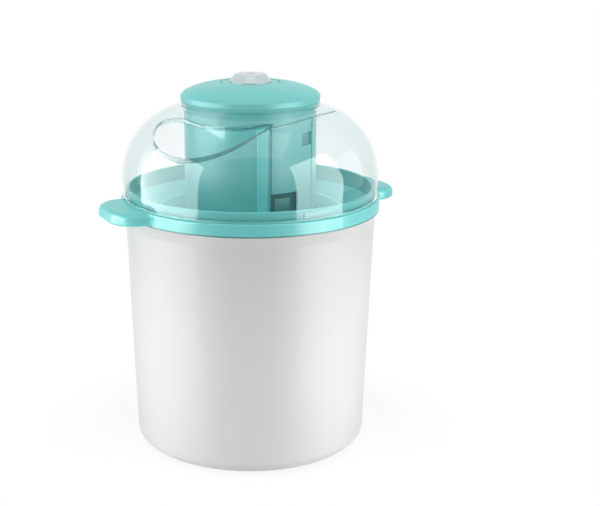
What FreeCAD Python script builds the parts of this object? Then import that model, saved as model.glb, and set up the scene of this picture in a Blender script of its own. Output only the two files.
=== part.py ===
import FreeCAD, Part
import math
import os

# Electric ice cream freezer: a white tapered bucket with a teal handle ring, a double-walled
# freezer bowl, a clear domed lid and a motor unit that turns the paddle through reduction gears.
# Millimetres. +Z is up, the origin is on the floor under the centre, the handles lie along X.

# ---- driving dimensions ------------------------------------------------------------------
# Clearances
body_gap = 0.3            # between pieces that lift or turn apart
seat_gap = 0.2            # between fixed pieces that nest in each other
run_gap = 0.05            # radial, between a shaft and its bearing
drive_gap = 0.1           # radial, between the output shaft and the paddle's socket

# Outer housing (white bucket)
foot_proud = 1.5          # the feet stand this far out of the underside
housing_height = 187.0
housing_top_r = 99.7
flare_out = 3.0           # the flare's reach past the top of the straight taper
flare_height = 10.0
flare_hollow = 0.5
housing_taper = 6.1       # how much narrower the foot of the straight taper is than its top
housing_wall = 2.5
housing_floor = 3.0
bottom_round = 9.0
rib_thickness = 2.0
rib_hub_r = 18.0
rib_count = 6

# Feet
foot_r = 9.0
foot_pad = 3.0
foot_stem_r = 3.0
foot_head_r = 4.2
foot_head = 1.5
foot_inset = 22.6         # from the bucket's bottom edge in to a foot's middle
foot_count = 4

# Handle ring
ring_overhang = 0.3       # past the bucket's top edge
ring_wall = 4.3
ring_height = 9.0
ring_edge_round = 1.6
skirt_height = 3.5
handle_out = 19.5         # past the ring
handle_half_width = 30.5
handle_corner_r = 20.0
handle_flare_r = 7.0      # hollow curve where a handle leaves the ring
handle_top_round = 5.2
handle_low_round = 1.6
handle_wall = 2.4
tongue_count = 6
tongue_width = 14.0
tongue_length = 16.0
tongue_thickness = 1.6
barb_depth = 1.0
barb_height = 4.0

# Freezer bowl
bowl_lift = 15.5          # of the bowl's underside above the bucket's floor
collar_wall = 1.8
collar_height = 16.4      # from its foot on the ring's shoulder to its top edge
step_drop = 17.7          # from the collar's top edge down to the inner step
step_bevel = 5.0
step_thickness = 2.5
liner_wall = 1.2
liner_taper = 5.0         # how much narrower the bowl's floor is than its mouth
liner_corner = 14.0
liner_flange = 4.0
jacket_width = 14.5       # from the bowl's mouth out to the shell's outside
shell_inset = 8.4         # from the collar in to the shell's outside
shell_wall = 2.0
shell_taper = 5.0
shell_corner = 10.0
gel_depth = 11.0          # cold store under the liner
gel_gap = 0.1
gel_fill_drop = 12.0      # air space left above the cold store, for it to swell
plug_r = 9.0
plug_depth = 4.0
plug_inset = 40.0         # from the shell's bottom edge in to the plug's middle
plug_slot_width = 2.0
plug_slot_depth = 1.0
pivot_r = 4.0
pivot_height = 5.0

# Bayonet between the bowl's collar and the lid
lug_count = 3
lug_proud = 1.3
lug_height = 2.4
lug_rise = 3.5            # underside of the lug above the ledge
lug_azimuth = -2.0        # degrees from the front towards +X, where the first lug's stop begins
lug_span = 11.0           # degrees
stop_span = 2.0
lock_turn = 15.0
lock_slack = 0.3
tab_span = 7.0
tab_height = 1.6

# Lid
lid_inset = 1.2           # in from the ring's outside
lid_wall = 1.8
lid_upright = 13.6        # height of the lid's straight wall, below the dome's arc
dome_arc_r = 55.5
neck_wall = 2.2
neck_gap = 0.5
neck_rise = 1.53          # of the neck's top above the dome's end
neck_depth = 10.6
seal_height = 1.0
seal_width = 1.5
seal_rest = 0.2
fill_bead_width = 1.4
fill_bead_proud = 0.4
crease_proud = 0.5
crease_width = 1.0
# Lines on the lid in plan: (degrees from the front towards +X, share of the way from neck to edge)
fill_outline = [
    (-12.8, 0.335), (-25.5, 0.570), (-38.0, 0.744), (-50.5, 0.826), (-64.5, 0.830),
    (-76.5, 0.760), (-86.0, 0.604), (-88.5, 0.489), (-83.5, 0.379), (-75.0, 0.313),
    (-63.5, 0.344), (-50.5, 0.401), (-35.5, 0.399), (-22.5, 0.350),
]
crease_path = [
    (-13.0, 0.405), (-4.5, 0.352), (8.0, 0.269), (26.0, 0.207), (41.0, 0.216), (54.0, 0.256),
]

# Motor unit's case and cap; rises are above the case's foot, drops below its top edge
case_sink = 8.0           # of the case's foot below the ring's top
case_wall = 2.2
case_foot_bevel = 0.7
case_floor = 2.5
cap_foot_out = 1.7        # past the case, as are the next two
cap_overhang_out = 2.6
cap_shoulder_out = 0.3
cap_mid_in = 8.0          # in from the case's outside
cap_overhang_low_rise = 2.6
cap_overhang_rise = 6.1
cap_shoulder_rise = 8.6
cap_mid_rise = 12.0
cap_rise = 15.4           # from the case's top edge to the button's seat
cap_wall = 2.2
spigot_height = 5.0
spigot_wall = 1.6
bezel_width = 6.2
bezel_gap = 0.6
bezel_thickness = 2.0
guide_azimuth = -15.7     # degrees from the front towards +X
guide_width = 7.6
guide_proud = 1.4
guide_round = 0.6
guide_drop = 12.9
guide_head_height = 3.5
guide_head_extra = 1.6
groove_azimuth = -9.0
groove_width = 3.0
groove_depth = 1.2
strip_azimuth = 32.0
strip_width = 16.0
strip_depth = 0.6
strip_drop = 8.9
window_width = 13.0
window_height = 9.8
window_drop = 23.5        # to the window's middle
window_depth = 1.6
latch_azimuth = 5.5
latch_width = 24.0
latch_height = 18.0
latch_depth = 2.4
latch_back = 1.5          # the wall is this much thicker behind the latch pocket

# Pillars and screws that hold the cap on the case
pillar_inset = 5.5        # from the case's bore in to a pillar's middle
pillar_r = 3.4
pillar_angles = (60.0, 180.0, 300.0)
pillar_split_rise = 16.5
case_screw_r = 1.5
case_screw_head_r = 2.6
case_screw_head = 1.6
case_screw_bite = 10.0

# Power button and its switch
button_r = 15.9
button_base_rise = 1.0    # above the button's seat
button_top_r = 11.7
button_rise = 6.3
button_travel = 2.5
button_wall = 2.0
button_edge_round = 1.0
button_flange = 1.1
button_flange_height = 1.0
stem_r = 3.0
spring_wire = 0.9
spring_coil_r = 5.5
spring_turns = 4
switch_width = 14.0
switch_height = 11.0
switch_drop = 11.3        # of the switch's top below the button's seat
plunger_r = 1.6
plunger_length = 3.2      # stands this far out of the switch at rest
plunger_depth = 4.0
bracket_thickness = 2.0
bracket_width = 16.0
bracket_post = 5.0
bracket_half_span = 20.5

# Gears
gear_module = 0.8
pressure_angle = 25.0
tooth_backlash = 0.14
addendum_share = 0.92     # of the module
dedendum_share = 1.3      # of the module
motor_teeth = 10
idler_big_teeth = 50
idler_small_teeth = 12
output_teeth = 45
stage_one_width = 4.0
stage_two_width = 6.0
stage_gap = 0.8
idler_angle = 0.0         # degrees about +Z, from the output axis to the idler axis
motor_angle = 150.0       # degrees about +Z, from the idler axis to the motor axis
gear_room = 4.96          # between the idler's reach and the case's bore
gear_rim = 2.6
gear_web = 1.8
hub_wall = 3.0
web_holes = 6
web_hole_share = 0.31     # each hole's radius, of the web's breadth

# Gearbox
tray_rise = 5.5
tray_thickness = 2.4
tray_inset = 2.5          # from the case's bore in to the tray's edge
tray_bore_r = 9.2
gear_lift = 1.2
cover_thickness = 2.5
cover_gap = 1.2
post_r = 3.2
post_angles = (50.0, 140.0, 220.0, 310.0)
post_inset = 10.5         # from the case's bore in to a post's middle
gearbox_screw_r = 1.25
gearbox_screw_head_r = 2.2
gearbox_screw_head = 1.6
idler_pin_r = 2.0
pin_seat = 1.6
shaft_r = 4.0
shaft_flat_depth = 1.0    # taken off the shaft on each of two sides
shaft_drop = 22.5         # of the shaft's end below the case's foot
boss_drop = 5.0           # the case's bearing boss stands this far below its floor
boss_wall = 2.6
bushing_wall = 1.8
bushing_flange = 1.0
bushing_flange_width = 1.75
washer_thickness = 0.5
clip_thickness = 0.8
clip_groove = 0.6
clip_width = 2.2          # past the shaft

# Motor
can_gap = 1.0             # between the can and the nearest screw's head
can_height = 22.0
can_corner = 2.0
ear_width = 8.0
ear_out = 6.5             # past the can
ear_thickness = 1.0
ear_hole_out = 3.0
motor_screw_r = 1.4
motor_screw_head_r = 2.6
motor_screw_head = 1.6
motor_shaft_r = 1.5
motor_shaft_depth = 8.0
motor_boss_r = 5.0

# Cord inlet
gland_r = 3.6
gland_flange_r = 4.4
gland_flange = 1.4
gland_bore_r = 2.4
gland_proud = 4.0
gland_rise = 4.5          # above the case's top edge

# Paddle
paddle_gap = 1.6          # between the blades and the bowl's liner
hub_wall_low = 5.5        # round the shaft
hub_height = 32.0
hub_top_gap = 1.2
socket_extra = 0.5
paddle_stem_r = 5.5
arm_height = 9.0
arm_thickness = 5.0
blade_width = 13.0
blade_inset = 4.3         # an outer blade's middle stands this far in from the blades' reach
blade_thickness = 3.2
blade_drop = 11.0         # of the blades' top below the shaft's end
blade_lean = 32.0         # degrees, each blade's face from the arm
inner_blade_share = 0.53  # of the bowl's floor radius
paddle_foot_r = 7.5
paddle_foot_height = 9.0

# ---- derived places ----------------------------------------------------------------------
housing_neck_r = housing_top_r - flare_out
housing_bottom_r = housing_neck_r - housing_taper
housing_top_z = foot_proud + housing_height
housing_neck_z = housing_top_z - flare_height
floor_z = foot_proud + housing_floor
foot_circle_r = housing_bottom_r - foot_inset
ring_r = housing_top_r + ring_overhang
ring_bore_r = ring_r - ring_wall
handle_reach = ring_r + handle_out
ledge_z = housing_top_z + ring_height
shoulder_z = housing_top_z
skirt_bottom_z = housing_top_z - skirt_height
tongue_bottom_z = skirt_bottom_z - tongue_length
barb_z = tongue_bottom_z + barb_height


def taper_r(z):
    """Outer radius of the housing's straight taper at a height."""
    share = (z - foot_proud) / (housing_neck_z - foot_proud)
    return housing_bottom_r + share * (housing_neck_r - housing_bottom_r)


skirt_r = taper_r(tongue_bottom_z) - housing_wall - seat_gap
shoulder_bore_r = skirt_r - tongue_thickness
collar_r = ring_bore_r - body_gap
collar_foot_z = shoulder_z + body_gap
collar_top_z = collar_foot_z + collar_height
collar_inner_r = collar_r - collar_wall
step_z = collar_top_z - step_drop
shell_top_z = step_z - step_thickness
shell_top_r = collar_r - shell_inset
shell_bottom_r = shell_top_r - shell_taper
bowl_mouth_r = shell_top_r - jacket_width
bowl_floor_r = bowl_mouth_r - liner_taper
bowl_bottom_z = floor_z + bowl_lift
liner_bottom_z = bowl_bottom_z + shell_wall + gel_depth
liner_floor_z = liner_bottom_z + liner_wall
plug_offset = shell_bottom_r - plug_inset

centre_one = gear_module * (motor_teeth + idler_big_teeth) / 2
centre_two = gear_module * (idler_small_teeth + output_teeth) / 2
idler_reach = centre_two + gear_module * (idler_big_teeth / 2 + addendum_share)
case_bore_r = idler_reach + gear_room
case_r = case_bore_r + case_wall

lid_r = ring_r - lid_inset
lid_bottom_z = ledge_z + seal_height + 2 * seal_rest
lid_arc_z = lid_bottom_z + lid_upright
neck_bore_r = case_r + neck_gap
neck_r = neck_bore_r + neck_wall
dome_centre_r = lid_r - dome_arc_r
dome_end_z = lid_arc_z + math.sqrt(dome_arc_r ** 2 - (neck_r - dome_centre_r) ** 2)
neck_top_z = dome_end_z + neck_rise
neck_bottom_z = neck_top_z - neck_depth
lug_z = ledge_z + lug_rise

case_bottom_z = ledge_z - case_sink
case_top_z = neck_top_z + body_gap
floor_top_z = case_bottom_z + case_floor
latch_top_z = case_bottom_z + latch_height
guide_top_z = case_top_z - guide_drop
strip_top_z = case_top_z - strip_drop
window_z = case_top_z - window_drop
pillar_circle_r = case_bore_r - pillar_inset
pillar_split_z = case_bottom_z + pillar_split_rise
post_circle_r = case_bore_r - post_inset
cap_foot_r = case_r + cap_foot_out
cap_overhang_r = case_r + cap_overhang_out
cap_shoulder_r = case_r + cap_shoulder_out
cap_mid_r = case_r - cap_mid_in
cap_overhang_low_z = case_top_z + cap_overhang_low_rise
cap_overhang_z = case_top_z + cap_overhang_rise
cap_shoulder_z = case_top_z + cap_shoulder_rise
cap_mid_z = case_top_z + cap_mid_rise
gland_z = case_top_z + gland_rise
seat_z = case_top_z + cap_rise
bezel_z = seat_z - bezel_thickness
bezel_bore_r = button_r + body_gap
bezel_r = bezel_bore_r + bezel_width
button_base_z = seat_z + button_base_rise
button_top_z = seat_z + button_rise
switch_top_z = seat_z - switch_drop
bracket_top_z = switch_top_z - switch_height
bracket_z = bracket_top_z - bracket_thickness
stem_bottom_z = switch_top_z + plunger_length
plunger_bottom_z = switch_top_z - plunger_depth

tray_z = case_bottom_z + tray_rise
tray_r = case_bore_r - tray_inset
tray_top_z = tray_z + tray_thickness
stage_two_z = tray_top_z + gear_lift
stage_one_z = stage_two_z + stage_two_width + stage_gap
cover_z = stage_one_z + stage_one_width + cover_gap
cover_top_z = cover_z + cover_thickness
shaft_bottom_z = case_bottom_z - shaft_drop
shaft_flat = shaft_r - shaft_flat_depth
boss_bottom_z = case_bottom_z - boss_drop
boss_top_z = stage_two_z - washer_thickness - bushing_flange - 2 * run_gap
bushing_r = shaft_r + run_gap + bushing_wall
bushing_flange_r = bushing_r + bushing_flange_width
clip_r = shaft_r + clip_width
paddle_top_z = boss_bottom_z - run_gap - clip_thickness - hub_top_gap
hub_r = shaft_r + hub_wall_low
blade_top_z = shaft_bottom_z - blade_drop
inner_blade_r = bowl_floor_r * inner_blade_share


def on_circle(radius, angle):
    """Point in plan at an angle about +Z, in degrees from +X."""
    return (radius * math.cos(math.radians(angle)), radius * math.sin(math.radians(angle)))


def heading(azimuth):
    """Angle about +Z, from +X, of a direction given in degrees from the front towards +X."""
    return azimuth - 90.0


idler_xy = on_circle(centre_two, idler_angle)
motor_arm = on_circle(centre_one, motor_angle)
motor_xy = (idler_xy[0] + motor_arm[0], idler_xy[1] + motor_arm[1])
nearest_post = min(math.dist(motor_xy, on_circle(post_circle_r, angle)) for angle in post_angles)
can_r = nearest_post - gearbox_screw_head_r - can_gap
ear_reach = can_r + ear_out
ear_hole_offset = can_r + ear_hole_out


# ---- helpers -----------------------------------------------------------------------------
def vec(x, y, z):
    return FreeCAD.Vector(x, y, z)


def section(start, *steps):
    """Closed face in the XZ half plane; a step is a point (r, z) or an arc ((r, z) via, (r, z) end)."""
    here = vec(start[0], 0, start[1])
    first = here
    edges = []
    for step in steps:
        if isinstance(step[0], tuple):
            via = vec(step[0][0], 0, step[0][1])
            there = vec(step[1][0], 0, step[1][1])
            edges.append(Part.Arc(here, via, there).toShape())
        else:
            there = vec(step[0], 0, step[1])
            edges.append(Part.makeLine(here, there))
        here = there
    if here.distanceToPoint(first) > 1e-6:
        edges.append(Part.makeLine(here, first))
    return Part.Face(Part.Wire(edges))


def turned(face, degrees=360.0):
    return face.revolve(vec(0, 0, 0), vec(0, 0, 1), degrees)


def spun(shape, degrees, centre=(0.0, 0.0)):
    copy = shape.copy()
    copy.rotate(vec(centre[0], centre[1], 0), vec(0, 0, 1), degrees)
    return copy


def moved(shape, x, y, z=0.0):
    copy = shape.copy()
    copy.translate(vec(x, y, z))
    return copy


def cylinder(radius, z_low, z_high, xy=(0.0, 0.0)):
    return Part.makeCylinder(radius, z_high - z_low, vec(xy[0], xy[1], z_low))


def tube(outer, inner, z_low, z_high, xy=(0.0, 0.0)):
    return cylinder(outer, z_low, z_high, xy).cut(cylinder(inner, z_low, z_high, xy))


def box(x_low, x_high, y_low, y_high, z_low, z_high):
    return Part.makeBox(x_high - x_low, y_high - y_low, z_high - z_low, vec(x_low, y_low, z_low))


def sector(inner, outer, z_low, z_high, start, span):
    """Curved bar: part of a ring, from an angle about +Z over a span, in degrees."""
    face = section((inner, z_low), (outer, z_low), (outer, z_high), (inner, z_high))
    return spun(turned(face, span), start)


def degrees_for(width, radius):
    """Angle that a width takes up on a circle."""
    return math.degrees(width / radius)


def united(shapes):
    return shapes[0].multiFuse(shapes[1:]).removeSplitter()


def circles_at(shape, radius, z):
    """Whole circular edges of a radius at a height."""
    found = []
    for edge in shape.Edges:
        bounds = edge.BoundBox
        level = abs(bounds.ZMin - z) < 1e-3 and abs(bounds.ZMax - z) < 1e-3
        if level and abs(bounds.XMax - radius) < 1e-3 and abs(bounds.XMin + radius) < 1e-3:
            found.append(edge)
    return found


def upright_edges(shape):
    """Edges that run through most of a shape's height."""
    return [e for e in shape.Edges if e.BoundBox.ZLength > shape.BoundBox.ZLength / 2]


def level_edges(shape, z):
    return [e for e in shape.Edges if e.BoundBox.ZLength < 1e-3 and abs(e.BoundBox.ZMin - z) < 1e-3]


def export(name, shape):
    if shape.ShapeType == "Compound" and len(shape.Solids) == 1:
        shape = shape.Solids[0]
    shape.exportStep("parts/" + name + ".step")


# ---- base --------------------------------------------------------------------------------
def bucket(offset, bottom_z, rounding):
    """Solid bucket form, set in from the housing's outside by an offset."""
    flare_mid = ((housing_neck_r + housing_top_r) / 2 - flare_hollow - offset,
                 (housing_neck_z + housing_top_z) / 2)
    low_r = taper_r(bottom_z) - offset
    body = turned(section(
        (0, bottom_z), (low_r, bottom_z), (housing_neck_r - offset, housing_neck_z),
        (flare_mid, (housing_top_r - offset, housing_top_z)), (0, housing_top_z)))
    return body.makeFillet(rounding, circles_at(body, low_r, bottom_z))


def at_feet(shape):
    first = 180.0 / foot_count
    return [spun(shape, first + i * 360.0 / foot_count) for i in range(foot_count)]


def outer_housing():
    rib_top_z = bowl_bottom_z - body_gap
    hull = bucket(0, foot_proud, bottom_round)
    shell = hull.cut(bucket(housing_wall, floor_z, bottom_round - housing_wall))
    rib_end_r = taper_r(floor_z) - housing_wall / 2
    rib = box(rib_hub_r, rib_end_r, -rib_thickness / 2, rib_thickness / 2,
              floor_z - housing_floor / 2, rib_top_z).common(hull)
    ribs = [spun(rib, i * 360.0 / rib_count) for i in range(rib_count)]
    rib_hub = tube(rib_hub_r + rib_thickness, rib_hub_r, floor_z - housing_floor / 2, rib_top_z)
    shell = united([shell, rib_hub] + ribs)
    pocket = cylinder(foot_r + seat_gap, foot_proud, foot_pad, (foot_circle_r, 0))
    stem_hole = cylinder(foot_stem_r, foot_proud, floor_z, (foot_circle_r, 0))
    for cutter in at_feet(pocket.fuse(stem_hole)):
        shell = shell.cut(cutter)
    for i in range(tongue_count):
        shell = shell.cut(barb_pocket(tongue_angle(i)))
    return shell


def rubber_feet():
    spot = (foot_circle_r, 0)
    pad = cylinder(foot_r, 0, foot_pad, spot)
    pad = pad.makeFillet(foot_proud / 2, [e for e in pad.Edges if e.BoundBox.ZMax < 1e-3])
    stem = cylinder(foot_stem_r, foot_pad, floor_z, spot)
    head = cylinder(foot_head_r, floor_z, floor_z + foot_head, spot)
    return Part.makeCompound(at_feet(united([pad, stem, head])))


def tongue_angle(index):
    return (index + 0.5) * 360.0 / tongue_count


def barb_pocket(angle):
    span = degrees_for(tongue_width + 2 * seat_gap, skirt_r)
    return sector(skirt_r - tongue_thickness, skirt_r + barb_depth + seat_gap,
                  tongue_bottom_z - seat_gap, barb_z + seat_gap, angle - span / 2, span)


def tongue(angle):
    """Springy hook under the ring: its barb snaps into a pocket in the housing's wall."""
    span = degrees_for(tongue_width, skirt_r)
    face = section(
        (shoulder_bore_r, tongue_bottom_z), (skirt_r, tongue_bottom_z),
        (skirt_r + barb_depth, barb_z - barb_depth), (skirt_r + barb_depth, barb_z),
        (skirt_r, barb_z), (skirt_r, skirt_bottom_z + seat_gap),
        (shoulder_bore_r, skirt_bottom_z + seat_gap))
    return spun(turned(face, span), angle - span / 2)


def handle_slab(inset, z_high):
    """Both handles' outline as one rounded slab across the ring."""
    reach = handle_reach - inset
    half = handle_half_width - inset
    slab = box(-reach, reach, -half, half, housing_top_z, z_high)
    return slab.makeFillet(handle_corner_r - inset, upright_edges(slab))


def handles():
    """Hollow handles that flare into the ring."""
    drum = cylinder(ring_r - body_gap, housing_top_z, ledge_z)
    slab = united([handle_slab(0, ledge_z), drum])
    necks = [e for e in upright_edges(slab) if abs(abs(e.CenterOfMass.y) - handle_half_width) < 1e-3]
    slab = slab.makeFillet(handle_flare_r, necks)
    slab = slab.makeFillet(handle_top_round, level_edges(slab, ledge_z))
    slab = slab.makeFillet(handle_low_round, level_edges(slab, housing_top_z))
    hollow = handle_slab(handle_wall, ledge_z - handle_wall)
    hollow = hollow.makeFillet(handle_top_round - handle_wall, level_edges(hollow, ledge_z - handle_wall))
    hollow = hollow.cut(cylinder(ring_r + handle_wall, housing_top_z, ledge_z))
    return slab.cut(hollow).cut(cylinder((ring_bore_r + ring_r) / 2, housing_top_z, ledge_z))


def rim_ring():
    mouth_r = housing_top_r - housing_wall - seat_gap
    body = turned(section(
        (ring_r, housing_top_z), (ring_r, ledge_z), (ring_bore_r, ledge_z),
        (ring_bore_r, shoulder_z), (shoulder_bore_r, shoulder_z),
        (shoulder_bore_r, skirt_bottom_z), (skirt_r, skirt_bottom_z), (mouth_r, housing_top_z)))
    body = body.makeFillet(ring_edge_round, circles_at(body, ring_r, ledge_z))
    tongues = [tongue(tongue_angle(i)) for i in range(tongue_count)]
    return united([body, handles()] + tongues)


# ---- freezer bowl ------------------------------------------------------------------------
def liner_r(z):
    """Inner radius of the bowl's tapered liner at a height."""
    share = (z - liner_floor_z) / (step_z - liner_floor_z)
    return bowl_floor_r + share * (bowl_mouth_r - bowl_floor_r)


def bowl_cavity(inset, bottom_z, top_z):
    """Solid form of the bowl's inside, set in from the liner's face by an inset."""
    low_r = liner_r(bottom_z) - inset
    body = turned(section((0, bottom_z), (low_r, bottom_z), (liner_r(top_z) - inset, top_z), (0, top_z)))
    return body.makeFillet(liner_corner - inset, circles_at(body, low_r, bottom_z))


def shell_form(offset, bottom_z, top_z):
    """Solid form of the bowl's outer shell, set in by an offset."""
    rise = (shell_top_r - shell_bottom_r) / (shell_top_z - bowl_bottom_z)
    low_r = shell_bottom_r + rise * (bottom_z - bowl_bottom_z) - offset
    top_r = shell_bottom_r + rise * (top_z - bowl_bottom_z) - offset
    body = turned(section((0, bottom_z), (low_r, bottom_z), (top_r, top_z), (0, top_z)))
    return body.makeFillet(shell_corner - offset, circles_at(body, low_r, bottom_z))


def bowl_liner():
    outside = bowl_cavity(-liner_wall, liner_bottom_z, shell_top_z)
    flange = cylinder(bowl_mouth_r + liner_wall + liner_flange, shell_top_z - liner_wall, shell_top_z)
    liner = united([outside, flange]).cut(bowl_cavity(0, liner_floor_z, shell_top_z))
    pivot = Part.makeCone(pivot_r, pivot_r / 2, pivot_height, vec(0, 0, liner_floor_z))
    return united([liner, pivot])


def bowl_shell():
    shell = shell_form(0, bowl_bottom_z, shell_top_z)
    shell = shell.cut(shell_form(shell_wall, bowl_bottom_z + shell_wall, shell_top_z))
    return shell.cut(cylinder(plug_r, bowl_bottom_z, bowl_bottom_z + shell_wall, (0, plug_offset)))


def coolant_plug():
    plug = cylinder(plug_r, bowl_bottom_z, bowl_bottom_z + plug_depth, (0, plug_offset))
    slot = box(-plug_r, plug_r, plug_offset - plug_slot_width / 2, plug_offset + plug_slot_width / 2,
               bowl_bottom_z, bowl_bottom_z + plug_slot_depth)
    return plug.cut(slot)


def coolant_gel():
    low = bowl_bottom_z + shell_wall + gel_gap
    top = shell_top_z - gel_fill_drop
    gel = shell_form(shell_wall + gel_gap, low, top)
    gel = gel.cut(bowl_cavity(-liner_wall - gel_gap, liner_bottom_z - gel_gap, shell_top_z))
    return gel.cut(cylinder(plug_r + gel_gap, low, bowl_bottom_z + plug_depth + gel_gap, (0, plug_offset)))


def bayonet_lug(index):
    """L-shaped lug on the collar: a rail that the lid's tab slides under, ending in a stop."""
    start = heading(lug_azimuth) + index * 360.0 / lug_count
    inner = collar_r - collar_wall / 2
    rail = sector(inner, collar_r + lug_proud, lug_z, lug_z + lug_height, start, lug_span)
    stop = sector(inner, collar_r + lug_proud, ledge_z + body_gap, lug_z + lug_height, start, stop_span)
    return rail.fuse(stop)


def bowl_rim():
    bevel_top_z = step_z + step_bevel
    lip = collar_wall / 2
    body = turned(section(
        (bowl_mouth_r, shell_top_z), (shoulder_bore_r - body_gap, shell_top_z),
        (shoulder_bore_r - body_gap, collar_foot_z), (collar_r, collar_foot_z),
        (collar_r, collar_top_z - lip),
        ((collar_r - lip, collar_top_z), (collar_inner_r, collar_top_z - lip)),
        (collar_inner_r, bevel_top_z), (collar_inner_r - step_bevel, step_z),
        (bowl_mouth_r + step_thickness / 2, step_z), (bowl_mouth_r, step_z - step_thickness / 2)))
    return united([body] + [bayonet_lug(i) for i in range(lug_count)])


# ---- lid ---------------------------------------------------------------------------------
def lid_seal():
    outer = lid_r - seal_rest
    return tube(outer, outer - seal_width, ledge_z + seal_rest, ledge_z + seal_rest + seal_height)


def dome_point(arc_r, radius, share=1.0):
    """Point on the dome's arc, a share of the way from the straight wall to the given radius."""
    angle = share * math.acos((radius - dome_centre_r) / arc_r)
    return (dome_centre_r + arc_r * math.cos(angle), lid_arc_z + arc_r * math.sin(angle))


def dome_form(offset):
    """Solid form of the lid's straight wall and dome, set in from its outside by an offset."""
    arc_r = dome_arc_r - offset
    end = dome_point(arc_r, neck_r)
    return turned(section(
        (0, lid_bottom_z), (lid_r - offset, lid_bottom_z), (lid_r - offset, lid_arc_z),
        (dome_point(arc_r, neck_r, 0.5), end), (0, end[1])))


def plan_spots(line):
    """Points at the foot of the dome, over a line given in plan."""
    spots = []
    for azimuth, share in line:
        x, y = on_circle(neck_r + share * (lid_r - neck_r), heading(azimuth))
        spots.append(vec(x, y, lid_arc_z))
    return spots


def beside(behind, spot, ahead, margin):
    """The spot moved sideways, to the left of the way from the one behind to the one ahead."""
    along = ahead - behind
    return spot + vec(-along.y, along.x, 0).normalize() * margin


def smooth_edge(spots, closed=False):
    spline = Part.BSplineCurve()
    spline.interpolate(spots, PeriodicFlag=closed)
    return spline.toShape()


def lid_prism(edges):
    return Part.Face(Part.Wire(edges)).extrude(vec(0, 0, dome_arc_r + lid_wall))


def fill_prism(margin):
    """Upright prism of the filling opening's outline, widened by a margin."""
    spots = plan_spots(fill_outline)
    after = spots[1:] + spots[:1]
    ring = [beside(spots[i - 1], spot, after[i], margin) for i, spot in enumerate(spots)]
    return lid_prism([smooth_edge(ring, True)])


def lid_tab(index):
    """Tab inside the lid's edge that slides under a lug of the collar."""
    start = heading(lug_azimuth) + stop_span + lock_slack + lock_turn + index * 360.0 / lug_count
    inner = collar_r + body_gap
    return sector(inner, lid_r - lid_wall / 2, lid_bottom_z, lid_bottom_z + tab_height, start, tab_span)


def lid_crease():
    """Low raised line that runs on from the opening's tip round the neck."""
    spots = plan_spots(crease_path)
    ends = [spots[0]] + spots + [spots[-1]]
    sides = []
    for margin in (-crease_width / 2, crease_width / 2):
        sides.append([beside(ends[i], spot, ends[i + 2], margin) for i, spot in enumerate(spots)])
    outline = [smooth_edge(sides[0]), Part.makeLine(sides[0][-1], sides[1][-1]),
               smooth_edge(sides[1]), Part.makeLine(sides[1][0], sides[0][0])]
    return raised_skin(crease_proud).common(lid_prism(outline))


def raised_skin(proud):
    """The dome's wall, standing proud of its outside."""
    return dome_form(-proud).cut(dome_form(lid_wall))


def lid_dome():
    opening = fill_prism(0)
    bead = raised_skin(fill_bead_proud).common(fill_prism(fill_bead_width))
    neck = cylinder(neck_r, neck_bottom_z, neck_top_z)
    tabs = [lid_tab(i) for i in range(lug_count)]
    lid = united([raised_skin(0), bead, neck, lid_crease()] + tabs).cut(opening)
    lid = lid.cut(cylinder(neck_bore_r, neck_bottom_z, neck_top_z))
    keyway_r = case_r + guide_proud + body_gap
    keyway_span = degrees_for(guide_width + guide_head_extra + 4 * body_gap, case_r)
    return lid.cut(sector(neck_bore_r - neck_gap, keyway_r, neck_bottom_z, neck_top_z,
                          heading(guide_azimuth) - keyway_span / 2, keyway_span))


# ---- motor unit: case, cap, button -------------------------------------------------------
def case_bar(azimuth, width, inner, outer, z_low, z_high):
    """Curved bar on the case's wall, centred on a direction."""
    span = degrees_for(width, case_r)
    return sector(inner, outer, z_low, z_high, heading(azimuth) - span / 2, span)


def case_pocket(azimuth, width, depth, z_low, z_high):
    """Cutter for a pocket in the case's outside."""
    return case_bar(azimuth, width, case_r - depth, case_r + depth, z_low, z_high)


def guide_rib():
    """Rib that runs in the keyway of the lid's neck, with a wider head and rounded outer edges."""
    inner = case_r - case_wall / 2
    outer = case_r + guide_proud
    bar = case_bar(guide_azimuth, guide_width, inner, outer, floor_top_z, guide_top_z)
    head = case_bar(guide_azimuth, guide_width + guide_head_extra, inner, outer,
                    guide_top_z - guide_head_height, guide_top_z)
    rib = united([bar, head])
    edges = [e for e in rib.Edges
             if min(math.hypot(v.X, v.Y) for v in e.Vertexes) > outer - guide_proud / 2]
    return rib.makeFillet(guide_round, edges)


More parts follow.
